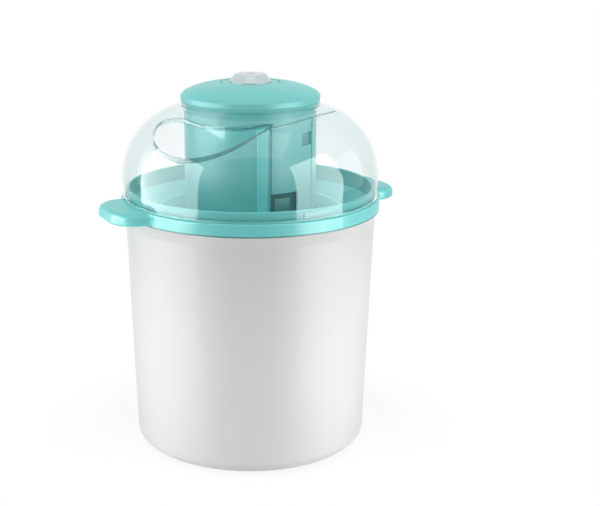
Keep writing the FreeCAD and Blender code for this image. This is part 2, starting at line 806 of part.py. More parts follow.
def motor_housing():
    body = cylinder(case_r, case_bottom_z, case_top_z)
    body = body.makeChamfer(case_foot_bevel, circles_at(body, case_r, case_bottom_z))
    body = body.cut(cylinder(case_bore_r, floor_top_z, case_top_z))
    middle_r = case_r - case_wall / 2
    latch_wall = case_bar(latch_azimuth, latch_width + 2 * case_wall, case_bore_r - latch_back, middle_r,
                          case_bottom_z, latch_top_z + case_wall)
    pillars = []
    for angle in pillar_angles:
        spot = on_circle(pillar_circle_r, angle)
        pillars.append(cylinder(pillar_r, case_bottom_z, pillar_split_z, spot))
        gusset = box(pillar_circle_r, middle_r, -case_wall / 2, case_wall / 2, floor_top_z, tray_z)
        pillars.append(spun(gusset, angle))
    bosses = [cylinder(post_r, case_bottom_z, tray_z, on_circle(post_circle_r, a)) for a in post_angles]
    bearing_boss = cylinder(bushing_r + boss_wall, boss_bottom_z, boss_top_z)
    body = united([body, guide_rib(), latch_wall, bearing_boss] + pillars + bosses)
    cuts = [
        case_pocket(groove_azimuth, groove_width, groove_depth, case_bottom_z, guide_top_z),
        case_pocket(strip_azimuth, strip_width, strip_depth, case_bottom_z, strip_top_z),
        case_pocket(strip_azimuth, window_width, window_depth,
                    window_z - window_height / 2, window_z + window_height / 2),
        case_pocket(latch_azimuth, latch_width, latch_depth, case_bottom_z, latch_top_z),
        cylinder(bushing_r, boss_bottom_z, boss_top_z),
    ]
    for angle in pillar_angles:
        spot = on_circle(pillar_circle_r, angle)
        cuts.append(cylinder(case_screw_r + run_gap, case_bottom_z, pillar_split_z, spot))
        cuts.append(cylinder(case_screw_head_r + seat_gap, case_bottom_z,
                             case_bottom_z + case_screw_head + seat_gap, spot))
    for angle in post_angles:
        cuts.append(cylinder(gearbox_screw_r, floor_top_z, tray_z, on_circle(post_circle_r, angle)))
    for cutter in cuts:
        body = body.cut(cutter)
    return body


def cap_form(offset):
    """Solid form of the cap, set in from its outside by an offset."""
    return turned(section(
        (0, case_top_z), (cap_foot_r - offset, case_top_z), (cap_overhang_r - offset, cap_overhang_low_z),
        (cap_overhang_r - offset, cap_overhang_z - offset / 2),
        (cap_shoulder_r - offset, cap_shoulder_z - offset),
        ((cap_mid_r, cap_mid_z - offset), (bezel_r, seat_z - offset)), (0, seat_z - offset)))


def motor_cap():
    spigot_r = case_bore_r - seat_gap
    shell = cap_form(0).cut(cap_form(cap_wall))
    spigot = tube(spigot_r, spigot_r - spigot_wall, case_top_z - spigot_height, cap_overhang_z)
    plate = tube(cap_foot_r, spigot_r - spigot_wall, case_top_z, case_top_z + cap_wall)
    seat_floor = cylinder(bezel_r + bezel_gap + cap_wall, bezel_z - cap_wall, seat_z - cap_wall)
    pillars = []
    for angle in pillar_angles:
        pillars.append(cylinder(pillar_r, pillar_split_z, cap_mid_z, on_circle(pillar_circle_r, angle)))
    pillars = [p.common(cap_form(cap_wall / 2).fuse(cylinder(case_bore_r, pillar_split_z, case_top_z)))
               for p in pillars]
    cap = united([shell, spigot, plate, seat_floor] + pillars)
    cap = cap.cut(cylinder(bezel_r + bezel_gap, bezel_z, seat_z + 1))
    cap = cap.cut(cylinder(button_r + button_flange + body_gap, bezel_z - 2 * cap_wall, seat_z))
    for angle in pillar_angles:
        cap = cap.cut(cylinder(case_screw_r, pillar_split_z, pillar_split_z + case_screw_bite,
                               on_circle(pillar_circle_r, angle)))
    return cap.cut(rearward_rod(gland_r, case_bore_r - cap_wall, cap_overhang_r))


def rearward_rod(radius, y_low, y_high):
    """Rod along +Y on the cord inlet's axis."""
    return Part.makeCylinder(radius, y_high - y_low, vec(0, y_low, gland_z), vec(0, 1, 0))


def cord_gland():
    start = case_bore_r - cap_wall
    end = cap_overhang_r + gland_proud
    body = rearward_rod(gland_r, start, end)
    flange = rearward_rod(gland_flange_r, cap_overhang_r, cap_overhang_r + gland_flange)
    return united([body, flange]).cut(rearward_rod(gland_bore_r, start, end))


def button_bezel():
    bezel = tube(bezel_r, bezel_bore_r, bezel_z, seat_z)
    return bezel.makeFillet(bezel_thickness / 4, circles_at(bezel, bezel_r, seat_z))


def power_button():
    skirt_z = bezel_z - body_gap - button_flange_height
    flange_top_z = skirt_z + button_flange_height
    inner_r = button_top_r - button_wall
    inner_z = button_top_z - button_wall
    outside = turned(section(
        (0, skirt_z), (button_r + button_flange, skirt_z), (button_r + button_flange, flange_top_z),
        (button_r, flange_top_z), (button_r, button_base_z), (button_top_r, button_top_z),
        (0, button_top_z)))
    outside = outside.makeFillet(button_edge_round, circles_at(outside, button_top_r, button_top_z))
    hollow = turned(section(
        (0, skirt_z), (button_r - button_wall, skirt_z), (button_r - button_wall, button_base_z),
        (inner_r, inner_z), (0, inner_z)))
    stem = cylinder(stem_r, stem_bottom_z, inner_z + button_wall / 2)
    return united([outside.cut(hollow), stem])


def button_spring():
    low = switch_top_z + spring_wire
    high = button_top_z - button_wall - spring_wire
    pitch = (high - low) / spring_turns
    helix = Part.makeHelix(pitch, high - low, spring_coil_r)
    half = spring_wire / 2
    profile = Part.makePolygon([
        vec(spring_coil_r - half, 0, -half), vec(spring_coil_r + half, 0, -half),
        vec(spring_coil_r + half, 0, half), vec(spring_coil_r - half, 0, half),
        vec(spring_coil_r - half, 0, -half)])
    return moved(Part.Wire(helix).makePipeShell([profile], True, True), 0, 0, low)


def power_switch():
    half = switch_width / 2
    body = box(-half, half, -half, half, bracket_top_z, switch_top_z)
    bore_z = plunger_bottom_z - button_travel - body_gap
    return body.cut(cylinder(plunger_r + run_gap, bore_z, switch_top_z))


def switch_plunger():
    return cylinder(plunger_r, plunger_bottom_z, stem_bottom_z)


def switch_bracket():
    half = bracket_width / 2
    reach = bracket_half_span + bracket_post / 2
    plate = box(-reach, reach, -half, half, bracket_z, bracket_top_z)
    post = box(bracket_half_span - bracket_post / 2, reach, -bracket_post / 2, bracket_post / 2,
               bracket_top_z, bezel_z - cap_wall)
    return united([plate, post, spun(post, 180)])


# ---- gears -------------------------------------------------------------------------------
def involute(angle):
    return math.tan(angle) - angle


def gear_form(teeth, z_low, width, phase):
    """Spur gear with involute flanks about the Z axis; phase turns one tooth's middle, in degrees."""
    pitch_r = gear_module * teeth / 2
    base_r = pitch_r * math.cos(math.radians(pressure_angle))
    tip_r = pitch_r + addendum_share * gear_module
    root_r = pitch_r - dedendum_share * gear_module
    start_r = max(base_r, root_r)
    thickness = math.pi * gear_module / 2 - tooth_backlash / 2
    half_pitch = thickness / (2 * pitch_r) + involute(math.radians(pressure_angle))

    def flank(radius, side, middle):
        half = half_pitch - involute(math.acos(min(1.0, base_r / radius)))
        angle = middle + side * half
        return vec(radius * math.cos(angle), radius * math.sin(angle), z_low)

    def at(radius, angle):
        return vec(radius * math.cos(angle), radius * math.sin(angle), z_low)

    edges = []
    step = 2 * math.pi / teeth
    for i in range(teeth):
        middle = math.radians(phase) + i * step
        foot_half = half_pitch - involute(math.acos(min(1.0, base_r / start_r)))
        mid_r = (start_r + tip_r) / 2
        rise = [at(root_r, middle - foot_half), flank(start_r, -1, middle)]
        fall = [flank(start_r, 1, middle), at(root_r, middle + foot_half)]
        if start_r > root_r:
            edges.append(Part.makeLine(rise[0], rise[1]))
        tips = [flank(tip_r, -1, middle), flank(tip_r, 1, middle)]
        edges.append(Part.Arc(rise[1], flank(mid_r, -1, middle), tips[0]).toShape())
        edges.append(Part.Arc(tips[0], at(tip_r, middle), tips[1]).toShape())
        edges.append(Part.Arc(tips[1], flank(mid_r, 1, middle), fall[0]).toShape())
        if start_r > root_r:
            edges.append(Part.makeLine(fall[0], fall[1]))
        edges.append(Part.Arc(fall[1], at(root_r, middle + step / 2),
                              at(root_r, middle + step - foot_half)).toShape())
    return Part.Face(Part.Wire(edges)).extrude(vec(0, 0, width))


def webbed(gear, teeth, hub_radius, z_low, width):
    """Thins a gear's web from above and drills a ring of holes through it."""
    rim_r = gear_module * teeth / 2 - dedendum_share * gear_module - gear_rim
    gear = gear.cut(tube(rim_r, hub_radius, z_low + gear_web, z_low + width))
    hole_r = (rim_r - hub_radius) * web_hole_share
    for i in range(web_holes):
        spot = on_circle((rim_r + hub_radius) / 2, i * 360.0 / web_holes)
        gear = gear.cut(cylinder(hole_r, z_low, z_low + width, spot))
    return gear


def mesh_phase(own_teeth, other_teeth, other_phase, toward):
    """Phase of a gear whose space meets the other gear's tooth; toward is the angle from other to own."""
    other_turn = (toward - other_phase) * other_teeth
    return toward + 180.0 + other_turn / own_teeth + 180.0 / own_teeth


output_phase = 0.0
idler_phase = mesh_phase(idler_small_teeth, output_teeth, output_phase, idler_angle)
motor_phase = mesh_phase(motor_teeth, idler_big_teeth, idler_phase, motor_angle)


def double_d(radius, flat, z_low, z_high):
    rod = cylinder(radius, z_low, z_high)
    return rod.common(box(-radius, radius, -flat, flat, z_low, z_high))


def output_gear():
    hub = shaft_r + hub_wall
    gear = gear_form(output_teeth, stage_two_z, stage_two_width, output_phase)
    gear = webbed(gear, output_teeth, hub, stage_two_z, stage_two_width)
    return gear.cut(double_d(shaft_r, shaft_flat, stage_two_z, stage_two_z + stage_two_width))


def output_shaft():
    groove_top_z = boss_bottom_z - run_gap
    groove_z = groove_top_z - clip_thickness
    top_z = stage_two_z + stage_two_width
    drive = double_d(shaft_r, shaft_flat, shaft_bottom_z, groove_z)
    neck = cylinder(shaft_r - clip_groove, groove_z, groove_top_z)
    journal = cylinder(shaft_r, groove_top_z, stage_two_z)
    seat = double_d(shaft_r, shaft_flat, stage_two_z, top_z)
    return united([drive, neck, journal, seat])


def shaft_clip():
    top_z = boss_bottom_z - run_gap
    return tube(clip_r, shaft_r - clip_groove, top_z - clip_thickness, top_z)


def thrust_washer():
    low = boss_top_z + bushing_flange + run_gap
    return tube(bushing_flange_r, shaft_r + run_gap, low, low + washer_thickness)


def output_bushing():
    body = cylinder(bushing_r, boss_bottom_z, boss_top_z)
    flange = cylinder(bushing_flange_r, boss_top_z, boss_top_z + bushing_flange)
    bore = cylinder(shaft_r + run_gap, boss_bottom_z, boss_top_z + bushing_flange)
    return united([body, flange]).cut(bore)


def idler_gear():
    hub = gear_module * idler_small_teeth / 2 + 1
    small = gear_form(idler_small_teeth, stage_two_z, stage_two_width + stage_gap, idler_phase)
    big = gear_form(idler_big_teeth, stage_one_z, stage_one_width, idler_phase)
    big = webbed(big, idler_big_teeth, hub, stage_one_z, stage_one_width)
    bore = cylinder(idler_pin_r + run_gap, stage_two_z, stage_one_z + stage_one_width)
    return moved(united([small, big]).cut(bore), idler_xy[0], idler_xy[1])


def idler_pin():
    return cylinder(idler_pin_r, tray_top_z - pin_seat, cover_z + pin_seat, idler_xy)


def motor_pinion():
    gear = gear_form(motor_teeth, stage_one_z, stage_one_width, motor_phase)
    bore = cylinder(motor_shaft_r, stage_one_z, stage_one_z + stage_one_width)
    return moved(gear.cut(bore), motor_xy[0], motor_xy[1])


def motor_shaft():
    return cylinder(motor_shaft_r, stage_one_z, cover_top_z + motor_shaft_depth, motor_xy)


# ---- gearbox and motor -------------------------------------------------------------------
def plate_with_pillar_holes(radius, z_low, thickness):
    plate = cylinder(radius, z_low, z_low + thickness)
    for angle in pillar_angles:
        plate = plate.cut(cylinder(pillar_r + seat_gap, z_low, z_low + thickness,
                                   on_circle(pillar_circle_r, angle)))
    return plate


def gearbox_tray():
    plate = plate_with_pillar_holes(tray_r, tray_z, tray_thickness)
    posts = [cylinder(post_r, tray_top_z, cover_z, on_circle(post_circle_r, a)) for a in post_angles]
    tray = united([plate] + posts).cut(cylinder(tray_bore_r, tray_z, tray_top_z))
    for angle in post_angles:
        spot = on_circle(post_circle_r, angle)
        tray = tray.cut(cylinder(gearbox_screw_r + run_gap, tray_z, cover_z, spot))
    return tray.cut(cylinder(idler_pin_r, tray_top_z - pin_seat, tray_top_z, idler_xy))


def gearbox_cover():
    plate = plate_with_pillar_holes(tray_r, cover_z, cover_thickness)
    plate = plate.cut(cylinder(motor_boss_r, cover_z, cover_top_z, motor_xy))
    plate = plate.cut(cylinder(idler_pin_r, cover_z, cover_z + pin_seat, idler_xy))
    for angle in post_angles:
        spot = on_circle(post_circle_r, angle)
        plate = plate.cut(cylinder(gearbox_screw_r + run_gap, cover_z, cover_top_z, spot))
    for side in (-1, 1):
        plate = plate.cut(cylinder(motor_screw_r, cover_z, cover_top_z, ear_spot(side)))
    return plate


def screw(shank_r, head_r, head, z_end, z_seat, spot):
    """Pan-head screw that points down, with its head on a seat."""
    shank = cylinder(shank_r, z_end, z_seat, spot)
    cap = cylinder(head_r, z_seat, z_seat + head, spot)
    return united([shank, cap])


def gearbox_screws():
    return Part.makeCompound([
        screw(gearbox_screw_r, gearbox_screw_head_r, gearbox_screw_head, floor_top_z, cover_top_z,
              on_circle(post_circle_r, angle)) for angle in post_angles])


def case_screws():
    screws = []
    for angle in pillar_angles:
        spot = on_circle(pillar_circle_r, angle)
        head = cylinder(case_screw_head_r, case_bottom_z + seat_gap,
                        case_bottom_z + seat_gap + case_screw_head, spot)
        shank = cylinder(case_screw_r, case_bottom_z + case_screw_head,
                         pillar_split_z + case_screw_bite, spot)
        screws.append(united([head, shank]))
    return Part.makeCompound(screws)


def ear_spot(side):
    return (motor_xy[0] + side * ear_hole_offset, motor_xy[1])


def motor_can():
    can = cylinder(can_r, cover_top_z, cover_top_z + can_height, motor_xy)
    top = [e for e in can.Edges if e.BoundBox.ZMin > cover_top_z + can_height / 2]
    can = can.makeFillet(can_corner, top)
    ears = box(motor_xy[0] - ear_reach, motor_xy[0] + ear_reach, motor_xy[1] - ear_width / 2,
               motor_xy[1] + ear_width / 2, cover_top_z, cover_top_z + ear_thickness)
    boss = cylinder(motor_boss_r, cover_z + cover_thickness / 2, cover_top_z, motor_xy)
    can = united([can, ears, boss])
    bore = cylinder(motor_shaft_r + run_gap, cover_z, cover_top_z + motor_shaft_depth + body_gap, motor_xy)
    can = can.cut(bore)
    for side in (-1, 1):
        can = can.cut(cylinder(motor_screw_r, cover_top_z, cover_top_z + ear_thickness, ear_spot(side)))
    return can


def motor_screws():
    return Part.makeCompound([
        screw(motor_screw_r, motor_screw_head_r, motor_screw_head, cover_z, cover_top_z + ear_thickness,
              ear_spot(side)) for side in (-1, 1)])


# ---- paddle ------------------------------------------------------------------------------
def paddle():
    low = liner_floor_z + paddle_gap
    hub = cylinder(hub_r, paddle_top_z - hub_height, paddle_top_z)
    stem = cylinder(paddle_stem_r, low, paddle_top_z - hub_height)
    foot = Part.makeCone(paddle_foot_r, paddle_stem_r, paddle_foot_height, vec(0, 0, low))
    reach = bowl_mouth_r
    arms = []
    for z in (low, blade_top_z - arm_height):
        arms.append(box(-reach, reach, -arm_thickness / 2, arm_thickness / 2, z, z + arm_height))
    outer_r = bowl_floor_r - paddle_gap - blade_inset
    blades = []
    for radius, lean in ((outer_r, blade_lean), (inner_blade_r, -blade_lean)):
        blade = box(radius - blade_width / 2, radius + blade_width / 2, -blade_thickness / 2,
                    blade_thickness / 2, low, blade_top_z)
        blade = spun(blade, lean, (radius, 0))
        blades += [blade, spun(blade, 180)]
    wings = united(arms + blades).common(bowl_cavity(paddle_gap, low, blade_top_z))
    whole = united([hub, stem, foot, wings])
    pivot_room = Part.makeCone(pivot_r + body_gap, pivot_r / 2 + body_gap, pivot_height + body_gap,
                               vec(0, 0, liner_floor_z))
    whole = whole.cut(pivot_room)
    socket_bottom_z = shaft_bottom_z - socket_extra
    return whole.cut(double_d(shaft_r + drive_gap, shaft_flat + drive_gap, socket_bottom_z, paddle_top_z))


# ---- build -------------------------------------------------------------------------------
pieces = {
    "outer_housing": outer_housing,
    "rubber_feet": rubber_feet,
    "rim_ring": rim_ring,
    "bowl_liner": bowl_liner,
    "bowl_shell": bowl_shell,
    "bowl_rim": bowl_rim,
    "coolant_gel": coolant_gel,
    "coolant_plug": coolant_plug,
    "lid_seal": lid_seal,
    "lid_dome": lid_dome,
    "motor_housing": motor_housing,
    "motor_cap": motor_cap,
    "case_screws": case_screws,
    "cord_gland": cord_gland,
    "button_bezel": button_bezel,
    "power_button": power_button,
    "button_spring": button_spring,
    "power_switch": power_switch,
    "switch_plunger": switch_plunger,
    "switch_bracket": switch_bracket,
    "gearbox_tray": gearbox_tray,
    "gearbox_cover": gearbox_cover,
    "gearbox_screws": gearbox_screws,
    "motor_can": motor_can,
    "motor_screws": motor_screws,
    "motor_shaft": motor_shaft,
    "motor_pinion": motor_pinion,
    "idler_gear": idler_gear,
    "idler_pin": idler_pin,
    "output_gear": output_gear,
    "output_shaft": output_shaft,
    "output_bushing": output_bushing,
    "thrust_washer": thrust_washer,
    "shaft_clip": shaft_clip,
    "paddle": paddle,
}

os.makedirs("parts", exist_ok=True)
for name, make in pieces.items():
    export(name, make())
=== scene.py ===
import math

import bpy
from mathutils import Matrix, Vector


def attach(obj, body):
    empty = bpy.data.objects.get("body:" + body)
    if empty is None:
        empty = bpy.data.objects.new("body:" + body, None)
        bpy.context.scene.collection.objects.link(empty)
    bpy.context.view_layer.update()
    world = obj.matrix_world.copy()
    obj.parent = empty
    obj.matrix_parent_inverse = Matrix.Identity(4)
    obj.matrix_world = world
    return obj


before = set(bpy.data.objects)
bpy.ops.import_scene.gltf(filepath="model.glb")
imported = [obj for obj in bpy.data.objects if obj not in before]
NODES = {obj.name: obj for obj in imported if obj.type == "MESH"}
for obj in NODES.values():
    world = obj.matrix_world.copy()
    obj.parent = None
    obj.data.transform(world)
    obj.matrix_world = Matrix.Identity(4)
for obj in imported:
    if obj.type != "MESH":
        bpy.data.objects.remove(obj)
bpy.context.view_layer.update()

bl_info = {
    "name": "Ice cream maker dressing",
    "version": (1, 0, 0),
    "blender": (4, 5, 0),
    "location": "3D View > Sidebar > Ice cream",
    "description": "Dresses the packed ice cream maker and sets its stage",
    "category": "Object",
}


# ---- fixed values --------------------------------------------------------------------

# Relief of each kind of skin, in metres
RELIEF_POLISHED = 0.000002
RELIEF_GROUND = 0.000005
RELIEF_FINE = 0.00001
RELIEF_SMOOTH = 0.00002
RELIEF_COARSE = 0.00003
RELIEF_SOFT = 0.00004
RELIEF_FROSTED = 0.00005

# Effects
NOISE_RANGE = (0.15, 0.85)      # where nearly all values of a noise lie
DUST_SHARE = 0.12               # height of the dust against the waviness of the skin
PROUD_STEP = (0.0002, 0.0010)   # above a round wall: where the painted highlight on a raised part starts, and is full
POCKET_STEP = -0.0008           # below a round wall: where the painted shade in a pocket starts
CUT_TURN = (0.90, 0.985)        # how squarely the wall faces its arc: cut edge, plain wall
CUT_DEPTH = (0.0005, 0.0013)    # below the dome's skin: where the line starts to fade, and ends
CUT_FADED = 0.3                 # what is left of the line at the inner side of the cut
BEAD_STEP = (0.0001, 0.0003)    # above the dome's arc: where a raised bead starts, and is full
SKIN_DEPTH = 0.0009             # below the dome's arc: how deep its outer skin counts
MARK_BARE = 0.55                # share of the button mark's size that its bare middle takes
EDGE_ON_POWER = 3.0             # how fast a clear wall's tint rises as it turns edge on
LIGHT_PASSED = 0.97             # share of a lamp's light that a clear wall lets through
WHITE = (1.0, 1.0, 1.0)

# Swept trim
FEWEST_STEPS = 8
STEPS_PER_RADIAN = 24
CORNER_STEPS = 3
WELD = 0.00001
SMOOTH_ANGLE = math.radians(35.0)

# Stage
FLOOR_ROUGHNESS = 0.9
FLOOR_SHADOW = (0.10, 0.20, 0.88, 1.0)      # from and to these metres, from and to these shares
SENSOR_WIDTH = 36.0
AIM_HEIGHT = 0.14
SIDE_REACH, SIDE_HEIGHT, SIDE_SIZE = 1.0, 0.36, (1.1, 0.64)
STRIP_HEIGHT, STRIP_SIZE = 0.075, (0.07, 0.20)
TOP_PLACE, TOP_SIZE = (-0.1, -0.25, 1.25), (0.9, 0.9)
CARD_HEIGHT, CARD_TALL = 0.315, 0.45
CARD_FULL_WIDTH = 0.43                      # width of a card that gives its whole power
CARDS = (("card_left", math.radians(-82.0), -0.15, 0.35),   # turn, and ends along its width
         ("card_right", math.radians(66.0), -0.24, 0.10))


# ---- values a user would change ------------------------------------------------------

def distance(name, description, default):
    return bpy.props.FloatProperty(name=name, description=description, default=default,
                                   unit="LENGTH", subtype="DISTANCE")


def colour(name, description, default):
    return bpy.props.FloatVectorProperty(name=name, description=description, default=default,
                                         size=3, subtype="COLOR", min=0.0, max=1.0)


def share(name, description, default):
    return bpy.props.FloatProperty(name=name, description=description, default=default,
                                   min=0.0, max=1.0, subtype="FACTOR")


class FREEZER_PG_stage(bpy.types.PropertyGroup):
    camera_place: bpy.props.FloatVectorProperty(
        name="Camera place", description="Where the camera stands", size=3,
        default=(-0.4100, -0.8596, 0.4134), unit="LENGTH", subtype="TRANSLATION")
    camera_turn: bpy.props.FloatProperty(
        name="Camera turn", description="The camera's heading about the vertical",
        default=math.radians(-25.5), unit="ROTATION", subtype="ANGLE")
    camera_drop: bpy.props.FloatProperty(
        name="Camera drop", description="How far the camera looks down from level",
        default=0.2705, unit="ROTATION", subtype="ANGLE")
    lens: bpy.props.FloatProperty(
        name="Lens", description="Focal length on a 36 mm sensor, in millimetres", default=75.2)
    shift: bpy.props.FloatProperty(
        name="Sideways shift", description="Lens shift that sets the object left of the middle",
        default=0.0828)
    floor_width: distance("Floor width", "Side of the square floor", 24.0)
    ambient: share("Ambient", "Light that the surroundings give", 0.34)
    side_power: bpy.props.FloatProperty(
        name="Side lights", description="Power of each tall side light", default=3.2,
        unit="POWER")
    side_turn: bpy.props.FloatProperty(
        name="Side turn", description="How far each side light stands round from the camera",
        default=math.radians(86.0), unit="ROTATION", subtype="ANGLE")
    strip_power: bpy.props.FloatProperty(
        name="Strip lights", description="Power of each slim light close to the object",
        default=0.122, unit="POWER")
    strip_turn: bpy.props.FloatProperty(
        name="Strip turn", description="How far each slim light stands round from the camera",
        default=math.radians(46.0), unit="ROTATION", subtype="ANGLE")
    strip_reach: distance("Strip reach", "How far each slim light stands from the middle", 0.21)
    card_power: bpy.props.FloatProperty(
        name="Gloss cards", description="Power of each panel that only glossy skins show",
        default=7.4, unit="POWER")
    card_reach: distance("Card reach", "How far each gloss panel stands from the middle", 0.42)
    top_power: bpy.props.FloatProperty(
        name="Top light", description="Power of the light overhead", default=6.8, unit="POWER")


class FREEZER_PG_trim(bpy.types.PropertyGroup):
    # Painted shadow: a thin dark band at the foot of the handle ring, in place of the shade that
    # the ring casts on the bucket.
    shadow_band_r: distance("Seam radius", "Middle of the dark band under the handle ring", 0.0996)
    shadow_band_z: distance("Seam height", "Middle of the dark band above the table", 0.18795)
    shadow_band_width: distance("Seam width", "How far the dark band reaches outwards", 0.0006)
    shadow_band_height: distance("Seam depth", "How tall the dark band is", 0.0010)
    shadow_band_edge: distance("Seam edge", "Rounding of the dark band's edges", 0.00015)
    sleeve_r: distance("Sleeve radius", "Middle of the teal sleeve in the bowl's mouth", 0.0706)
    sleeve_z: distance("Sleeve height", "Middle of the sleeve above the table", 0.1724)
    sleeve_wall: distance("Sleeve wall", "Thickness of the sleeve", 0.0014)
    sleeve_depth: distance("Sleeve depth", "How tall the sleeve is", 0.0298)
    sleeve_edge: distance("Sleeve edge", "Rounding of the sleeve's edges", 0.0005)
    # Painted shade: a dark pad in the latch pocket stands in for the shade inside that pocket.
    latch_r: distance("Latch radius", "Middle of the pad in the latch pocket", 0.0487)
    latch_z: distance("Latch height", "Middle of the pad above the table", 0.1972)
    latch_thickness: distance("Latch thickness", "Thickness of the pad", 0.0010)
    latch_tall: distance("Latch size", "How tall the pad is", 0.0125)
    latch_edge: distance("Latch edge", "Rounding of the pad's edges", 0.0003)
    latch_heading: bpy.props.FloatProperty(
        name="Latch heading", description="Where the pad begins, round from the front",
        default=math.radians(-4.0), unit="ROTATION", subtype="ANGLE")
    latch_span: bpy.props.FloatProperty(
        name="Latch span", description="How far round the case the pad runs",
        default=math.radians(15.0), unit="ROTATION", subtype="ANGLE")


class FREEZER_PG_colours(bpy.types.PropertyGroup):
    housing: colour("Bucket", "Satin white of the bucket", (0.64, 0.64, 0.642))
    teal: colour("Teal", "Teal of the ring, collar and motor case", (0.150, 0.600, 0.585))
    cap: colour("Cap", "Teal of the motor cap", (0.195, 0.620, 0.600))
    lid: colour("Lid", "Tint of the clear lid", (0.930, 0.965, 0.968))
    lid_edge: colour("Lid edge", "Tint of the lid where it is seen along its wall",
                     (0.70, 0.82, 0.82))
    # Painted shade: dark tint drawn along the lid's cut edges in place of their refraction.
    lid_cut_shade: colour("Lid line", "Tint of the lid's cut edges", (0.12, 0.27, 0.28))
    # Painted shadow: dark teal of the band under the handle ring.
    seam: colour("Seam", "Dark teal under the handle ring", (0.020, 0.150, 0.150))
    # Painted light: the sleeve stands in the bowl's shade, so its teal is brightened and it is
    # given a faint glow.
    sleeve: colour("Sleeve", "Teal of the sleeve in the bowl's mouth", (0.220, 0.800, 0.780))
    sleeve_painted_glow: colour("Sleeve glow", "Faint teal light that the sleeve gives",
                        (0.05, 0.42, 0.40))
    # Painted shade: dark teal of the pad that darkens the latch pocket.
    latch: colour("Latch", "Dark teal of the latch pad", (0.030, 0.270, 0.260))
    # Painted shade: the colour that darkens the case's pockets, groove and window.
    pocket_shade: colour("Pockets", "Colour that the case's pockets are darkened by",
                   (0.06, 0.30, 0.30))
    mark: colour("Button mark", "Grey of the mark printed on the button", (0.16, 0.17, 0.17))
    button: colour("Button", "White of the button", (0.56, 0.63, 0.63))
    rubber: colour("Feet", "Grey of the rubber feet", (0.34, 0.34, 0.34))
    seal: colour("Seal", "Teal of the silicone seal", (0.13, 0.50, 0.47))
    liner: colour("Liner", "Teal anodised aluminium of the bowl's liner", (0.36, 0.66, 0.64))
    bowl: colour("Bowl shell", "White plastic round the cold store", (0.74, 0.75, 0.76))
    coolant: colour("Coolant", "Pale blue cold store", (0.42, 0.62, 0.74))
    inner: colour("Inner mouldings", "Grey of the gearbox and bracket", (0.45, 0.47, 0.48))
    gears: colour("Gears", "Natural acetal of the gears", (0.83, 0.81, 0.74))
    paddle: colour("Paddle", "Milky white of the paddle", (0.80, 0.81, 0.79))
    steel: colour("Steel", "Bright steel of shafts and screws", (0.60, 0.60, 0.61))
    can: colour("Motor can", "Zinc-plated steel of the motor", (0.52, 0.53, 0.53))
    bronze: colour("Bronze", "Sintered bronze of the bushing", (0.50, 0.33, 0.16))
    black: colour("Black plastic", "Black of the gland and the switch", (0.022, 0.022, 0.024))
    floor: colour("Floor", "Pale floor", (0.86, 0.86, 0.86))


# ---- effects shared by materials -----------------------------------------------------

SKIN_OUTPUTS = [("Colour", "colour"), ("Roughness", "value"), ("Height", "value")]


def effect(name, inputs, outputs):
    """A new node group, the sockets that it is given and those that take its results."""
    group = bpy.data.node_groups.new(name, "ShaderNodeTree")
    kinds = {"vector": "NodeSocketVector", "colour": "NodeSocketColor", "value": "NodeSocketFloat"}
    for label, kind, default in inputs:
        socket = group.interface.new_socket(name=label, in_out="INPUT", socket_type=kinds[kind])
        if default is not None:
            socket.default_value = default
    for label, kind in outputs:
        group.interface.new_socket(name=label, in_out="OUTPUT", socket_type=kinds[kind])
    inlet = group.nodes.new("NodeGroupInput")
    outlet = group.nodes.new("NodeGroupOutput")
    return group, inlet.outputs, outlet.inputs


def feed(tree, value, socket):
    """Links the socket to another one, or sets it to a plain value."""
    if isinstance(value, bpy.types.NodeSocket):
        tree.links.new(value, socket)
    else:
        socket.default_value = value


def noise(tree, vector, scale, detail):
    """Cloudy values between 0 and 1."""
    node = tree.nodes.new("ShaderNodeTexNoise")
    node.inputs["Scale"].default_value = scale
    node.inputs["Detail"].default_value = detail
    tree.links.new(vector, node.inputs["Vector"])
    return node.outputs["Fac"]


def maths(tree, operation, *values):
    """What the operation makes of one or two numbers or sockets."""
    node = tree.nodes.new("ShaderNodeMath")
    node.operation = operation
    for socket, value in zip(node.inputs, values):
        feed(tree, value, socket)
    return node.outputs["Value"]


def stretched(tree, value, low, high, first, last):
    """The value carried smoothly from the range low to high over to first to last."""
    node = tree.nodes.new("ShaderNodeMapRange")
    node.interpolation_type = "SMOOTHSTEP"
    for label, limit in (("From Min", low), ("From Max", high), ("To Min", first),
                         ("To Max", last), ("Value", value)):
        feed(tree, limit, node.inputs[label])
    return node.outputs["Result"]


def ranged(tree, value, first, last):
    """A noise's value stretched to run from first to last."""
    return stretched(tree, value, *NOISE_RANGE, first, last)


def blended(tree, blend, factor, first, second):
    """The first colour with the second mixed in or multiplied, by the factor."""
    mix = tree.nodes.new("ShaderNodeMix")
    mix.data_type = "RGBA"
    mix.blend_type = blend
    for label, value in (("Factor", factor), ("A", first), ("B", second)):
        feed(tree, value, mix.inputs[label])
    return mix.outputs["Result"]


def shaded(tree, tint, amount):
    """The colour times an amount that varies over the surface."""
    grey = tree.nodes.new("ShaderNodeCombineColor")
    for label in ("Red", "Green", "Blue"):
        tree.links.new(amount, grey.inputs[label])
    return blended(tree, "MULTIPLY", 1.0, tint, grey.outputs["Color"])


def coordinates(tree, vector):
    """The x, y and z of a vector."""
    parts = tree.nodes.new("ShaderNodeSeparateXYZ")
    tree.links.new(vector, parts.inputs["Vector"])
    return parts.outputs["X"], parts.outputs["Y"], parts.outputs["Z"]


def length(tree, across, up):
    """The long side of a right triangle, such as the distance from the upright axis."""
    return maths(tree, "SQRT", maths(tree, "ADD", maths(tree, "MULTIPLY", across, across),
                                     maths(tree, "MULTIPLY", up, up)))


